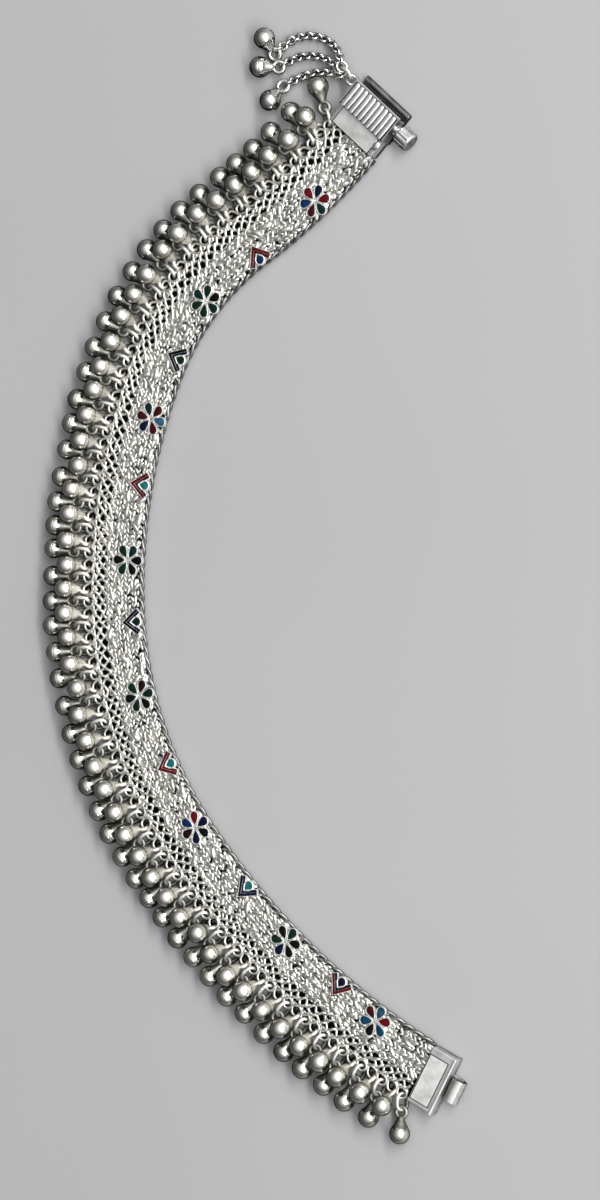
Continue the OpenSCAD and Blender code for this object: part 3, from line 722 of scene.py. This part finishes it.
arm_half = BUD_ARM_W / 2
STRIPS = (
    # a strip's casting from and to, its field of enamel from and to
    (arm_half, -BUD_LINE, arm_half - BUD_RIM, BUD_LINE),
    (BUD_LINE, -arm_half, -BUD_LINE, BUD_RIM - arm_half),
)
bud_cast, bud_glass = bmesh.new(), bmesh.new()
for k, (out, inside, field_out, field_in) in enumerate(STRIPS):
    middle = (field_out + field_in) / 2
    field = chevron(field_out, field_in, BUD_ARM - BUD_RIM)
    cell(bud_cast, chevron(out, inside, BUD_ARM), field, pocket(ORNAMENT_T), 0)
    cell(bud_glass, field, chevron(middle + CREST[0], middle - CREST[0], BUD_ARM - 2 * BUD_RIM),
         dome(ENAMEL_CROWN / 4), 0, k)
cell(bud_cast, drop_outline(0), drop_outline(DROP_RIM), pocket(ORNAMENT_T + DROP_RISE), 0)
cell(bud_glass, drop_outline(DROP_RIM), drop_outline(DROP_W / 2 - CREST[1]), dome(ENAMEL_CROWN),
     0, 2)
for number, colors in enumerate(BUD_COLORS, 1):
    ornament("bud", number, on_band(ORNAMENT_S[2 * number - 1], 0, ORNAMENT_Z), bud_cast,
             bud_glass, colors)

# Bells. Hollow round bells of thin silver, pressed in two halves and soldered, with a neck
# that narrows to an eye. The outer row hangs on links and the inner row on the eyelets.
BELL_R = 2.39
BELL_REACH = 4.9
EYE_R = 1.25
EYE_WIRE_R = 0.5
WIRE_R = 0.42
OUTER_REACH = 4.2
OUTER_EYE_Z = 1.75
LACE_MIDDLE_Z = 1.6
EYE_REACH = 1.3
INNER_ROLL = math.radians(46)
NECK_FROM = 0.85
BALL_FROM = 132  # angle on the ball at which the neck meets it
NECK = ((0, 0.35), (0.1, 0.68), (0.26, 0.88), (0.46, 1.08), (0.66, 1.33), (0.86, 1.58))
BALL_TURNS = (BALL_FROM, 123, 112, 103, 94, 91.5, 90, 88.5, 86, 76, 63, 49, 35, 20, 8, 0)
SEAM_SIZE = 0.975  # size of the groove between the halves, at 90 degrees
FAN = (29, 24)  # how far the rows fan out at the clasp and at the catch, in degrees
FAN_BELLS = 1.6
SWAY_WAVES = ((4, 13), (0.5, 101))  # degrees, and turn for each bell
INNER_LIFT, LIFT_WAVE, LIFT_TURN = 48, 2.5, 77
STANDING = (3, 35, 53, 75)  # inner bells that stand steeply
STANDING_LIFT = 66
LEAN, ROLL, INNER_NOD = 0.07, 0.15, 0.08  # most of a bell's own turns, in radians
BELL_SIZES = (0.95, 1.01)


def lathe(mesh, profile, steps):
    """Spins a profile of (x, radius) points round the X axis."""
    row = [mesh.verts.new((x, 0, r)) for x, r in profile]
    line = [mesh.edges.new(pair) for pair in zip(row, row[1:])]
    bmesh.ops.spin(mesh, geom=row + line, cent=(0, 0, 0), axis=(1, 0, 0), angle=math.tau,
                   steps=steps, use_merge=True)


def bell_mesh(roll, reach):
    """A bell along +X with its eye at the origin: eye, neck, and seamed ball."""
    mesh = bmesh.new()
    eye = [Matrix.Rotation(roll, 3, "X") @ polar(EYE_R, math.tau * i / 20) for i in range(20)]
    add_wire(mesh, eye, EYE_WIRE_R)
    neck_end = reach + BELL_R * math.cos(math.radians(BALL_FROM))
    ball = []
    for degrees in BALL_TURNS:
        radius = BELL_R * (SEAM_SIZE if degrees == 90 else 1)
        ball.append((reach + radius * math.cos(math.radians(degrees)),
                     radius * math.sin(math.radians(degrees))))
    neck = [(NECK_FROM + share * (ball[0][0] - NECK_FROM), radius) for share, radius in NECK]
    lathe(mesh, neck + ball, 24)
    bmesh.ops.remove_doubles(mesh, verts=mesh.verts, dist=0.004)
    bmesh.ops.recalc_face_normals(mesh, faces=mesh.faces)
    for face in mesh.faces:
        face.material_index = face.calc_center_median().x < neck_end
    return mesh


def sway(i):
    """How far bell i leans along the band, in radians. The rows fan out at both ends."""
    waves = sum(most * math.sin(math.radians(turn * i)) for most, turn in SWAY_WAVES)
    return math.radians(waves - FAN[0] * math.exp(-i / FAN_BELLS)
                        + FAN[1] * math.exp(-(BELL_COUNT - 1 - i) / FAN_BELLS))


def at_bell(i):
    return on_band(eyelet_s(i), EYELET_U) @ Matrix.Rotation(sway(i), 4, "Z")


def lift(i):
    """How steeply an inner bell stands on the lace."""
    if i in STANDING:
        return math.radians(STANDING_LIFT)
    return math.radians(INNER_LIFT + LIFT_WAVE * math.sin(math.radians(LIFT_TURN * i)))


# Painted shade on the ball bells: darker on sides turned from the light, and at their rims.
bell_silver = silver("bell_silver", rim=(0.02, 0.02, 0.018), Bright=(0.93, 0.915, 0.835, 1),
                     Dark=(0.06, 0.058, 0.048, 1), Spot_Scale=420, Spots=0.15, Shades=0.2,
                     Sides=0.85, Polish=0.13, Grain_Scale=5200, Grain=0.04)
# Painted shade on the necks: darker low down and on the sides turned from the light.
neck_silver = silver("neck_silver", rim=(0.5, 0.5, 0.46), metal=0.85, Bright=(0.9, 0.885, 0.8, 1),
                     Dark=(0.05, 0.048, 0.04, 1), Spots=0.3, Deep_Z=0.6 * mm, Top_Z=2.4 * mm,
                     Sides=0.25, Polish=0.38, Grain=0.1)
# Painted shade: the outer row's necks take a darker copy of the neck silver, darker at the sides too.
shaded_neck = silver("shaded_neck", rim=(0.1, 0.1, 0.09), Bright=(0.42, 0.415, 0.37, 1),
                     Dark=(0.04, 0.039, 0.033, 1), Spots=0.4, Sides=0.9, Polish=0.42, Grain=0.1)
outer_tilt = math.asin((BELL_R - OUTER_EYE_Z) / BELL_REACH)


def lean(nod=0.0):
    """A small turn and a size of its own for each bell, so that none hangs like the next."""
    return (Matrix.Rotation(shake(LEAN), 4, "Z") @ Matrix.Rotation(shake(nod), 4, "Y")
            @ Matrix.Rotation(shake(ROLL), 4, "X") @ Matrix.Scale(chance.uniform(*BELL_SIZES), 4))


outer_places = [at_bell(i) @ Matrix.Translation((OUTER_REACH, 0, OUTER_EYE_Z))
                @ Matrix.Rotation(-outer_tilt, 4, "Y") @ lean() for i in range(0, BELL_COUNT, 2)]
inner_places = [at_bell(i) @ Matrix.Translation((EYE_REACH, 0, LACE_MIDDLE_Z))
                @ Matrix.Rotation(-lift(i), 4, "Y") @ lean(INNER_NOD)
                for i in range(1, BELL_COUNT, 2)]
for row, roll, places, neck_finish in (("outer", 0, outer_places, shaded_neck),
                                       ("inner", INNER_ROLL, inner_places, neck_silver)):
    bells = copies("ball_bells_" + row, bell_mesh(roll, BELL_REACH), places, bell_silver, neck_finish)
    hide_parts("bells_" + row)

# Links of the outer row. Long loops of round silver wire, soldered shut. One goes from each
# second eyelet to a bell.
LINK_SPAN = 1.25
LINK_ROLL = math.radians(40)
# Painted shade on the links and tassel ring: darker low down and on sides turned from the light.
link_silver = silver("link_silver", rim=(0.5, 0.5, 0.47), metal=0.85, Bright=(0.97, 0.96, 0.91, 1),
                     Dark=(0.05, 0.048, 0.04, 1), Spots=0.3, Shades=0.15, Deep_Z=0.4 * mm,
                     Top_Z=2.2 * mm, Sides=0.25, Polish=0.36, Grain=0.1)
link = bmesh.new()
half_ring = [math.pi / 2 + math.pi * i / 9 for i in range(10)]
loop_points = [Vector((EYE_R + EYE_R * math.cos(a), 0, EYE_R * math.sin(a))) for a in half_ring]
loop_points += [Vector((EYE_R + LINK_SPAN - EYE_R * math.cos(a), 0, -EYE_R * math.sin(a)))
                for a in half_ring]
add_wire(link, [Matrix.Rotation(LINK_ROLL, 3, "X") @ point for point in loop_points], WIRE_R)
links_of_row = copies("row_links", link, [
    at_bell(i) @ Matrix.Translation((0, 0, LACE_MIDDLE_Z)) for i in range(0, BELL_COUNT, 2)
], link_silver)
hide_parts("bell_links")

# Clasp box. Thick silver sheet soldered into a box with a fluted lip, an open mouth for the
# catch, a cover with round ribs and painted shade between them, a brushed plate over the
# band's end, a ringed collar and a loop for the tassel.
CLASP_U = 0.6
CLASP_W = 13.9
BOX_H = 5.0
BLOCK = (-1.6, 3.15, 3.9)  # from and to along the band, and height
COVER_TO = -8.1
SLOT_BACK = -3.1
SLOT_TOP = 4.4
FLOOR_T = 0.7
JAW_S = -8.65
JAW_R = 0.75
FLUTE_DEPTH = 0.09  # share of the lip's radius
FLUTE_STEPS = 6  # points of the lip in each of its six flutes
LIP_BEAD = (1.05, 0.36)  # how far the low bead lies behind the lip's middle, and its radius
CHEEK_TO = -7.4
RIBS = 10
RIB_MARGIN = 0.55
RIB_HALF = (0.67, 3.2, 0.42)
RIB_S = -4.35
PLATE_U = (2.1, 13.1)
PLATE_S = (-1.2, 2.95)
PLATE_TOP = 4.1
PIN_S = -5.1
PIN_Z = 2.55
LUG_U = 16.2
LUG_S = -6.4
LUG_ROLL = math.radians(45)
LUG_LOOP = (1.3, 3.1, 0.42)  # head radius, length, wire radius
SHADE_GAP = 0.22  # how far the dark joint, painted as shadow, shows round a plate

# Painted shade: the case is darker low down, towards its lip and floor.
case_silver = silver("case_silver", rim=(0.3, 0.3, 0.29), Bright=(0.85, 0.85, 0.83, 1),
                     Dark=(0.08, 0.08, 0.075, 1), Spot_Scale=300, Spots=0.4, Deep_Z=0.7 * mm,
                     Top_Z=1.7 * mm, Polish=0.12, Grain=0.2)
# Painted shade: the ribs darken towards their foot, into the grooves between them.
rib_silver = silver("rib_silver", rim=(0.6, 0.6, 0.58), metal=0.85, Bright=(0.95, 0.95, 0.93, 1),
                    Dark=(0.03, 0.03, 0.028, 1), Spots=0.15, Deep_Z=4.98 * mm, Top_Z=5.32 * mm,
                    Polish=0.2, Grain=0.1)
# Near-black finish: painted shade in the grooves between the ribs and in the joints round plates.
seam_shade = silver("seam_shade", rim=(0.05, 0.05, 0.05), Bright=(0.03, 0.03, 0.028, 1),
                    Dark=(0.01, 0.01, 0.01, 1), Polish=0.45)


def brushed(name, heading, metal):
    """Light silver with fine scratches that run along a heading."""
    material = silver(name, rim=(0.8, 0.8, 0.79), metal=metal, Bright=(0.93, 0.93, 0.91, 1),
                      Dark=(0.3, 0.3, 0.28, 1), Spots=0.4, Spot_Scale=420, Polish=0.28)
    tree = material.node_tree
    turned = add_node(tree, "Mapping", {
        "Vector": add_node(tree, "TexCoord")["Object"],
        "Rotation": (0, 0, math.radians(heading)), "Scale": (9, 0.5, 1),
    }, vector_type="TEXTURE")["Vector"]
    scratches = add_node(tree, "TexNoise", {"Vector": turned, "Scale": 1700, "Detail": 3})["Fac"]
    bump = add_node(tree, "Bump", {"Strength": 0.35, "Distance": 0.00005, "Height": scratches})
    fill(tree, tree.nodes["Principled BSDF"], {"Normal": bump["Normal"]})
    return material


def arc(s, z, radius, first, last, steps):
    """Points (s, z) on an arc between two angles in degrees."""
    turns = [math.radians(first + (last - first) * i / steps) for i in range(steps + 1)]
    return [(s + radius * math.cos(a), z + radius * math.sin(a)) for a in turns]


def join(mesh, part, finish=0):
    """Adds a part to a mesh with one of its finishes."""
    for face in part.faces:
        face.material_index = finish
    shape = bpy.data.meshes.new("part")
    part.to_mesh(shape)
    mesh.from_mesh(shape)
    bpy.data.meshes.remove(shape)


def slab(mesh, outline, low, high, ease=0.1, finish=0):
    """Adds a solid with an outline in (s, z) from u low to u high, with its edges eased."""
    part = bmesh.new()
    face = part.faces.new([part.verts.new((low, s, z)) for s, z in outline])
    grown = bmesh.ops.extrude_face_region(part, geom=[face])["geom"]
    moved = [item for item in grown if isinstance(item, bmesh.types.BMVert)]
    bmesh.ops.translate(part, verts=moved, vec=(high - low, 0, 0))
    bmesh.ops.recalc_face_normals(part, faces=part.faces)
    sharp = [edge for edge in part.edges if abs(edge.calc_face_angle(0)) > 0.6]
    bmesh.ops.bevel(part, geom=sharp, offset=ease, segments=2, profile=0.5, affect="EDGES",
                    material=-1, clamp_overlap=True)
    join(mesh, part, finish)


def block(mesh, u, s, z, ease=0.1, finish=0):
    """Adds a block between pairs of u, s and z."""
    slab(mesh, [(s[0], z[0]), (s[1], z[0]), (s[1], z[1]), (s[0], z[1])], u[0], u[1], ease, finish)


def egg(mesh, centre, half, finish=0, stretch=0.0, steps=(12, 8)):
    """Adds an ellipsoid, drawn out along s by a straight middle."""
    part = bmesh.new()
    bmesh.ops.create_uvsphere(part, u_segments=steps[0], v_segments=steps[1], radius=1)
    bmesh.ops.scale(part, verts=part.verts, vec=half)
    for corner in part.verts:
        corner.co.y += stretch if corner.co.y > 0 else -stretch
    bmesh.ops.translate(part, verts=part.verts, vec=centre)
    join(mesh, part, finish)


def flat_faces(thing):
    """Keeps large faces flat beside their eased edges."""
    thing.modifiers.new("flat_faces", "WEIGHTED_NORMAL").weight = 100


def framed_plate(mesh, u, s, base, top, plate, seam_shadow):
    """Adds a thin plate, and round it a dark joint painted near black as its shadow."""
    block(mesh, (u[0] - SHADE_GAP, u[1] + SHADE_GAP), (s[0] - SHADE_GAP, s[1] + SHADE_GAP),
          (base - 0.1, base + 0.03), 0.02, seam_shadow)
    block(mesh, u, s, (base - 0.1, top), 0.07, plate)


clasp_far = CLASP_U + CLASP_W
nose = COVER_TO + 0.45
case = bmesh.new()
lip_middle = Vector((JAW_S, JAW_R))
lip = [Vector(point).lerp(lip_middle, FLUTE_DEPTH * (1 - math.cos(math.tau * i / FLUTE_STEPS)))
       for i, point in enumerate(arc(JAW_S, JAW_R, JAW_R, 270, 0, 36))]
slab(case, [(BLOCK[0] + 0.5, 0), *lip,
            *arc(JAW_S + LIP_BEAD[0], FLOOR_T, LIP_BEAD[1], 160, 0, 6),
            (SLOT_BACK, FLOOR_T), (SLOT_BACK, SLOT_TOP), (nose, SLOT_TOP),
            *arc(nose, SLOT_TOP + 0.3, 0.32, 225, 90, 5), (-1.65, BOX_H),
            *arc(-1.65, BOX_H - 0.5, 0.5, 80, 0, 4)], CLASP_U, clasp_far, 0.12)
for low in (CLASP_U, clasp_far - 1):
    block(case, (low, low + 1), (CHEEK_TO, BLOCK[0] + 0.5), (0, SLOT_TOP), 0.15)
block(case, (CLASP_U + 0.3, clasp_far - 0.3), BLOCK[:2], (0, BLOCK[2]), 0.22)
framed_plate(case, PLATE_U, PLATE_S, BLOCK[2], PLATE_TOP, 3, 1)
# Painted shade: a near-black sheet under the ribs shows in the grooves between them.
block(case, (CLASP_U + 0.35, clasp_far - 0.35), (COVER_TO + 0.75, -1.35),
      (BOX_H - 0.1, BOX_H + 0.02), 0.01, 1)
rib_pitch = (CLASP_W - 2 * RIB_MARGIN) / RIBS
for i in range(RIBS):
    egg(case, (CLASP_U + RIB_MARGIN + rib_pitch * (i + 0.5), RIB_S, BOX_H - 0.04),
        (RIB_HALF[0], RIB_HALF[0], RIB_HALF[2]), 2, RIB_HALF[1] - RIB_HALF[0])
egg(case, (CLASP_U + 0.95, 0.3, BLOCK[2] - 0.35), (0.95, 1.5, 0.75), 0, 0, (16, 10))
collar = bmesh.new()
lathe(collar, [(CLASP_U + 0.1, 0.8), (CLASP_U + 0.1, 1.25), (CLASP_U - 0.15, 1.32),
               (CLASP_U - 0.3, 1.25), (CLASP_U - 0.38, 0.98), (CLASP_U - 0.46, 0.98),
               (CLASP_U - 0.55, 1.2), (CLASP_U - 0.72, 1.26), (CLASP_U - 0.86, 1.15),
               (CLASP_U - 0.9, 0.8)], 24)
bmesh.ops.translate(collar, verts=collar.verts, vec=(0, PIN_S, PIN_Z))
join(case, collar)
lug = bmesh.new()
add_wire(lug, drop_loop(*LUG_LOOP[:2], 15), LUG_LOOP[2], detail=3)
bmesh.ops.transform(lug, verts=lug.verts, matrix=Matrix.Translation((LUG_U, LUG_S, PIN_Z))
                    @ Matrix.Rotation(LUG_ROLL, 4, "X") @ Matrix.Rotation(-math.pi / 2, 4, "Z"))
join(case, lug)
clasp = copies("clasp_case", case, [on_band(0, 0)], case_silver, seam_shade, rib_silver,
               brushed("plate_silver", EDGE_START[2] - 90, 0.8))
flat_faces(clasp)
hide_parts("clasp_box")

# Screw pin. A turned silver pin, threaded at its end, goes through the box. Its knob has
# broad flats parted by filed grooves, and a plain rim at both ends.
KNOB_R = 2.2
KNOB_FLATS = 10
KNOB_GROOVE = 0.5
FLAT_SIDE = 0.36  # share of a flat's turn from its middle to its side
FLAT_MIDDLE = 0.12
FLAT_SWELL = 1.006
KNOB_CORNERS = (
    # share of a flat's turn, in a groove or not
    (-FLAT_SIDE, 0), (-FLAT_MIDDLE, 0), (FLAT_MIDDLE, 0), (FLAT_SIDE, 0), (0.5, 1),
)
KNOB_RINGS = (
    # u, size, depth of the grooves
    (-4.15, 0.76, 0), (-4.1, 0.86, 0), (-3.98, 0.94, 0), (-3.8, 0.97, 0), (-3.72, 0.99, 0.25),
    (-3.6, 1, 1), (-0.95, 1, 1), (-0.82, 0.99, 0.25), (-0.74, 0.97, 0), (-0.58, 0.93, 0),
    (-0.47, 0.82, 0),
)
PIN_R = 0.75
THREAD = (10.6, 14.6, 0.45, 0.13)  # from, to, pitch and depth
pin_mesh = bmesh.new()
knob_rings = []
for u, size, depth in KNOB_RINGS:
    ring = []
    for k in range(KNOB_FLATS):
        for turn, cut in KNOB_CORNERS:
            a = math.tau * (k + turn) / KNOB_FLATS
            r = size * KNOB_R - cut * depth * KNOB_GROOVE
            if abs(turn) == FLAT_MIDDLE:
                r *= (math.cos(math.tau * FLAT_SIDE / KNOB_FLATS)
                      / math.cos(math.tau * FLAT_MIDDLE / KNOB_FLATS) * FLAT_SWELL)
            ring.append((u, r * math.cos(a), r * math.sin(a)))
    knob_rings.append(ring)
draw_out(pin_mesh, knob_rings)
bmesh.ops.holes_fill(pin_mesh, edges=pin_mesh.edges)
bmesh.ops.recalc_face_normals(pin_mesh, faces=pin_mesh.faces)
thread_from, thread_to, pitch, depth = THREAD
turns = round((thread_to - thread_from) / pitch)
profile = [(-0.6, PIN_R), (thread_from, PIN_R)]
for i in range(turns):
    profile += [(thread_from + pitch * (i + 0.45), PIN_R - depth),
                (thread_from + pitch * (i + 0.9), PIN_R)]
lathe(pin_mesh, profile + [(14.8, PIN_R - 0.1), (15.0, PIN_R - 0.3), (15.0, 0)], 20)
bmesh.ops.remove_doubles(pin_mesh, verts=pin_mesh.verts, dist=0.0005)
# Painted shade on the pin, knob and barrel: darker on sides turned from the light, and at rims.
pin_silver = silver("pin_silver", rim=(0.25, 0.25, 0.24), metal=0.85, Bright=(0.9, 0.9, 0.87, 1),
                    Dark=(0.06, 0.06, 0.055, 1), Spots=0.3, Sides=0.9, Polish=0.12, Grain=0.1)
pin = copies("knob_and_pin", pin_mesh, [on_band(PIN_S, 0, PIN_Z)], pin_silver, body="pin")
flat_faces(pin)
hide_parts("screw_pin")

# Tassel ring. A thick round ring of silver wire, soldered shut through the clasp's loop. It
# carries the three chains.
TASSEL_RING_R = 1.6
TASSEL_RING_WIRE = 0.7
TASSEL_HEADING = math.radians(139)
RING_STEP = 2
lug_place = on_band(LUG_S, LUG_U, PIN_Z).translation
ring_place = lug_place + polar(RING_STEP, TASSEL_HEADING)


def round_wire(mesh, radius, wire, steps, detail=3):
    """Adds a ring of round wire about Z."""
    add_wire(mesh, [polar(radius, math.tau * i / steps) for i in range(steps)], wire,
             detail=detail)


ring_mesh = bmesh.new()
round_wire(ring_mesh, TASSEL_RING_R, TASSEL_RING_WIRE / 2 + 0.05, 28)
ring = copies("tassel_loop", ring_mesh, [
    Matrix.Translation(ring_place) @ Matrix.Rotation(TASSEL_HEADING, 4, "Z")
    @ Matrix.Rotation(-LUG_ROLL, 4, "X")
], link_silver)
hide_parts("tassel_ring")

# Tassel chains. Round links of thick silver wire, soldered shut and a quarter turn from one
# another, hang from the ring and come down to lie in three curves.
ROUTES = ((-42, 106, 220, 19), (0, 138, 206, 14), (42, 166, 206, 12))  # hook, headings, links
LIE_Z = 1.25
LINK_R = 0.86
LINK_PITCH = 1.14
CHAIN_WIRE = 0.41
CHAIN_THICK = 0.32  # radius of the wire that shows
FIRST_R = 1.2
FIRST_PLAY = 0.23
DROP_LINKS = 7
TWIST_LINKS = 5
HOOK_REACH = TASSEL_RING_R + FIRST_R - (TASSEL_RING_WIRE + CHAIN_WIRE) / 2 - FIRST_PLAY


def chain_places(hook, head_from, head_to, count):
    """Matrices of a chain's links, before their quarter turns."""
    away = (Matrix.Rotation(TASSEL_HEADING, 3, "Z") @ Matrix.Rotation(-LUG_ROLL, 3, "X")
            @ polar(1, math.radians(hook)))
    centres = [ring_place + HOOK_REACH * away]
    top = centres[0].z
    for i in range(1, count):
        share = min(1, i / DROP_LINKS)
        z = top + (LIE_Z - top) * share * share * (3 - 2 * share)
        reach = FIRST_R + LINK_R - CHAIN_WIRE - FIRST_PLAY if i == 1 else LINK_PITCH
        heading = math.radians(head_from + (head_to - head_from) * (i - 1) / (count - 2))
        fall = z - centres[-1].z
        centres.append(centres[-1] + polar(math.sqrt(reach ** 2 - fall ** 2), heading, fall))
    steps = [far - near for near, far in zip(centres, centres[1:])]
    ways = [away * LINK_PITCH + steps[0]]
    ways += [steps[i] + steps[min(i + 1, count - 2)] for i in range(count - 1)]
    return [Matrix.Translation(centre) @ Matrix.Rotation(math.atan2(way.y, way.x), 4, "Z")
            @ Matrix.Rotation(-math.atan2(way.z, way.xy.length), 4, "Y")
            for centre, way in zip(centres, ways)]


# Painted shade on the chains: darker on sides turned from the light, and at their rims.
chain_silver = silver("chain_silver", rim=(0.15, 0.15, 0.14), Bright=(0.95, 0.95, 0.92, 1),
                      Dark=(0.06, 0.06, 0.055, 1), Spots=0.35, Shades=0.25, Sides=0.6, Polish=0.1,
                      Grain=0.12)
chain_link = bmesh.new()
round_wire(chain_link, LINK_R, CHAIN_THICK, 16, 2)
first_link = bmesh.new()
round_wire(first_link, FIRST_R, CHAIN_THICK, 20, 2)
for number, (hook, head_from, head_to, count) in enumerate(ROUTES, 1):
    places = chain_places(hook, head_from, head_to, count)
    end_side = 1 if count % 2 else -1
    rolls = [LUG_ROLL * ((-1) ** i + end_side * max(0, (i - count + 1 + TWIST_LINKS) / TWIST_LINKS))
             for i in range(count)]
    turned = [place @ Matrix.Rotation(roll, 4, "X") for place, roll in zip(places, rolls)]
    chain = copies(f"chain_{number}", chain_link, turned[1:], chain_silver)
    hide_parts(f"tassel_chain_{number}")
    hooked = copies(f"chain_hook_{number}", first_link, turned[:1], chain_silver)

# Tassel bells. Polished round silver bells, pressed in two halves and soldered, with a slit
# sawn across the end. They are thin-walled and dark inside.
TASSEL_REACH = 4.3
TASSEL_TURNS = (-100, -28, 22)
TASSEL_EYE_WIRE = 0.45
LINK_PLAY = 0.13
SLIT_FROM = 0.6
SLIT_W = 0.42
BELL_WALL = 0.22
slit_bell = bell_mesh(0, TASSEL_REACH)
eye_end = EYE_R + 2 * EYE_WIRE_R
for point, normal in (((TASSEL_REACH + SLIT_FROM, 0, 0), (1, 0, 0)),
                      ((0, 0, SLIT_W / 2), (0, 0, 1)), ((0, 0, -SLIT_W / 2), (0, 0, 1))):
    ball = [face for face in slit_bell.faces if face.calc_center_median().x > eye_end]
    around = {item for face in ball for item in (*face.verts, *face.edges)}
    bmesh.ops.bisect_plane(slit_bell, geom=ball + list(around), plane_co=point, plane_no=normal)
bmesh.ops.delete(slit_bell, context="FACES", geom=[
    face for face in slit_bell.faces
    if face.calc_center_median().x > TASSEL_REACH + SLIT_FROM
    and abs(face.calc_center_median().z) < SLIT_W / 2])
shell_from = TASSEL_REACH - BELL_R * 0.5
shell = [face for face in slit_bell.faces if face.calc_center_median().x > shell_from]
bmesh.ops.solidify(slit_bell, geom=shell, thickness=BELL_WALL)
# Painted shade on the tassel bells: darker on sides turned from the light, and at their rims.
polished = silver("polished_bell", rim=(0.02, 0.02, 0.018), Bright=(0.97, 0.96, 0.92, 1),
                  Dark=(0.025, 0.025, 0.022, 1), Spot_Scale=420, Spots=0.25, Sides=0.9,
                  Polish=0.09, Grain_Scale=5200, Grain=0.05)
polished_neck = silver("polished_neck", rim=(0.1, 0.1, 0.09), Bright=(0.95, 0.94, 0.9, 1),
                       Dark=(0.05, 0.05, 0.045, 1), Spots=0.3, Sides=0.7, Polish=0.14, Grain=0.08)
for number, (hook, head_from, head_to, count) in enumerate(ROUTES, 1):
    turn = math.radians(TASSEL_TURNS[number - 1])
    climb = math.asin((BELL_R - LIE_Z) / (TASSEL_REACH + EYE_R * math.cos(turn)))
    step = LINK_R + EYE_R - (CHAIN_WIRE + TASSEL_EYE_WIRE) / 2 - LINK_PLAY
    place = (chain_places(hook, head_from, head_to, count)[-1]
             @ Matrix.Translation((step, 0, EYE_R * math.sin(climb) * math.cos(turn)))
             @ Matrix.Rotation(turn, 4, "Z") @ Matrix.Rotation(-climb, 4, "Y"))
    bell = copies(f"slit_bell_{number}", slit_bell, [place], polished, polished_neck)
    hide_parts(f"tassel_bell_{number}")

# Catch. The other end of the band sits in a silver block with a bright plate on top. A
# flange with eased corners closes it, and slides under the cover of the clasp box.
CATCH = (-3.4, 2.3, 3.6)  # from and to past the band's end, and height
CATCH_PLATE_S = (-3.0, 1.4)
FLANGE = (2.2, 3.0, 4.2)
catch_mesh = bmesh.new()
block(catch_mesh, (CLASP_U, clasp_far - 0.4), CATCH[:2], (0, CATCH[2]), 0.25)
framed_plate(catch_mesh, (PLATE_U[0] + 0.3, PLATE_U[1]), CATCH_PLATE_S, CATCH[2],
             CATCH[2] + 0.2, 2, 1)
block(catch_mesh, (CLASP_U - 0.2, clasp_far), FLANGE[:2], (0, FLANGE[2]), 0.3)
# Painted shade: the catch block is darker low down.
catch_silver = silver("catch_silver", rim=(0.6, 0.6, 0.58), metal=0.8, Bright=(0.9, 0.9, 0.88, 1),
                      Dark=(0.2, 0.2, 0.19, 1), Spot_Scale=300, Spots=0.35, Deep_Z=-1 * mm,
                      Top_Z=3 * mm, Polish=0.22, Grain=0.15)
catch_heading = edge_place(EDGE_LEN)[2]
catch = copies("catch_block", catch_mesh, [on_band(EDGE_LEN, 0)], catch_silver, seam_shade,
               brushed("catch_plate_silver", catch_heading - 90, 0.55))
flat_faces(catch)
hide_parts("catch_plate")

# Catch barrel. A strip of silver is rolled into a tube for the screw pin, and its tail is
# soldered to the flange.
BARREL_U = (4.35, 9.65)
BARREL_S = 5.1
BARREL_Z = 2.4
BARREL_R = (1.2, 1.8)
barrel_mesh = bmesh.new()
slab(barrel_mesh, [(FLANGE[1] - 0.4, BARREL_Z - BARREL_R[1]),
                   *arc(BARREL_S, BARREL_Z, BARREL_R[1], -90, 222, 30),
                   *arc(BARREL_S, BARREL_Z, BARREL_R[0], 222, -90, 26),
                   (FLANGE[1] - 0.4, BARREL_Z - BARREL_R[0])], *BARREL_U, 0.12)
barrel = copies("rolled_barrel", barrel_mesh, [on_band(EDGE_LEN, 0)], pin_silver)
flat_faces(barrel)
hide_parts("catch_barrel")
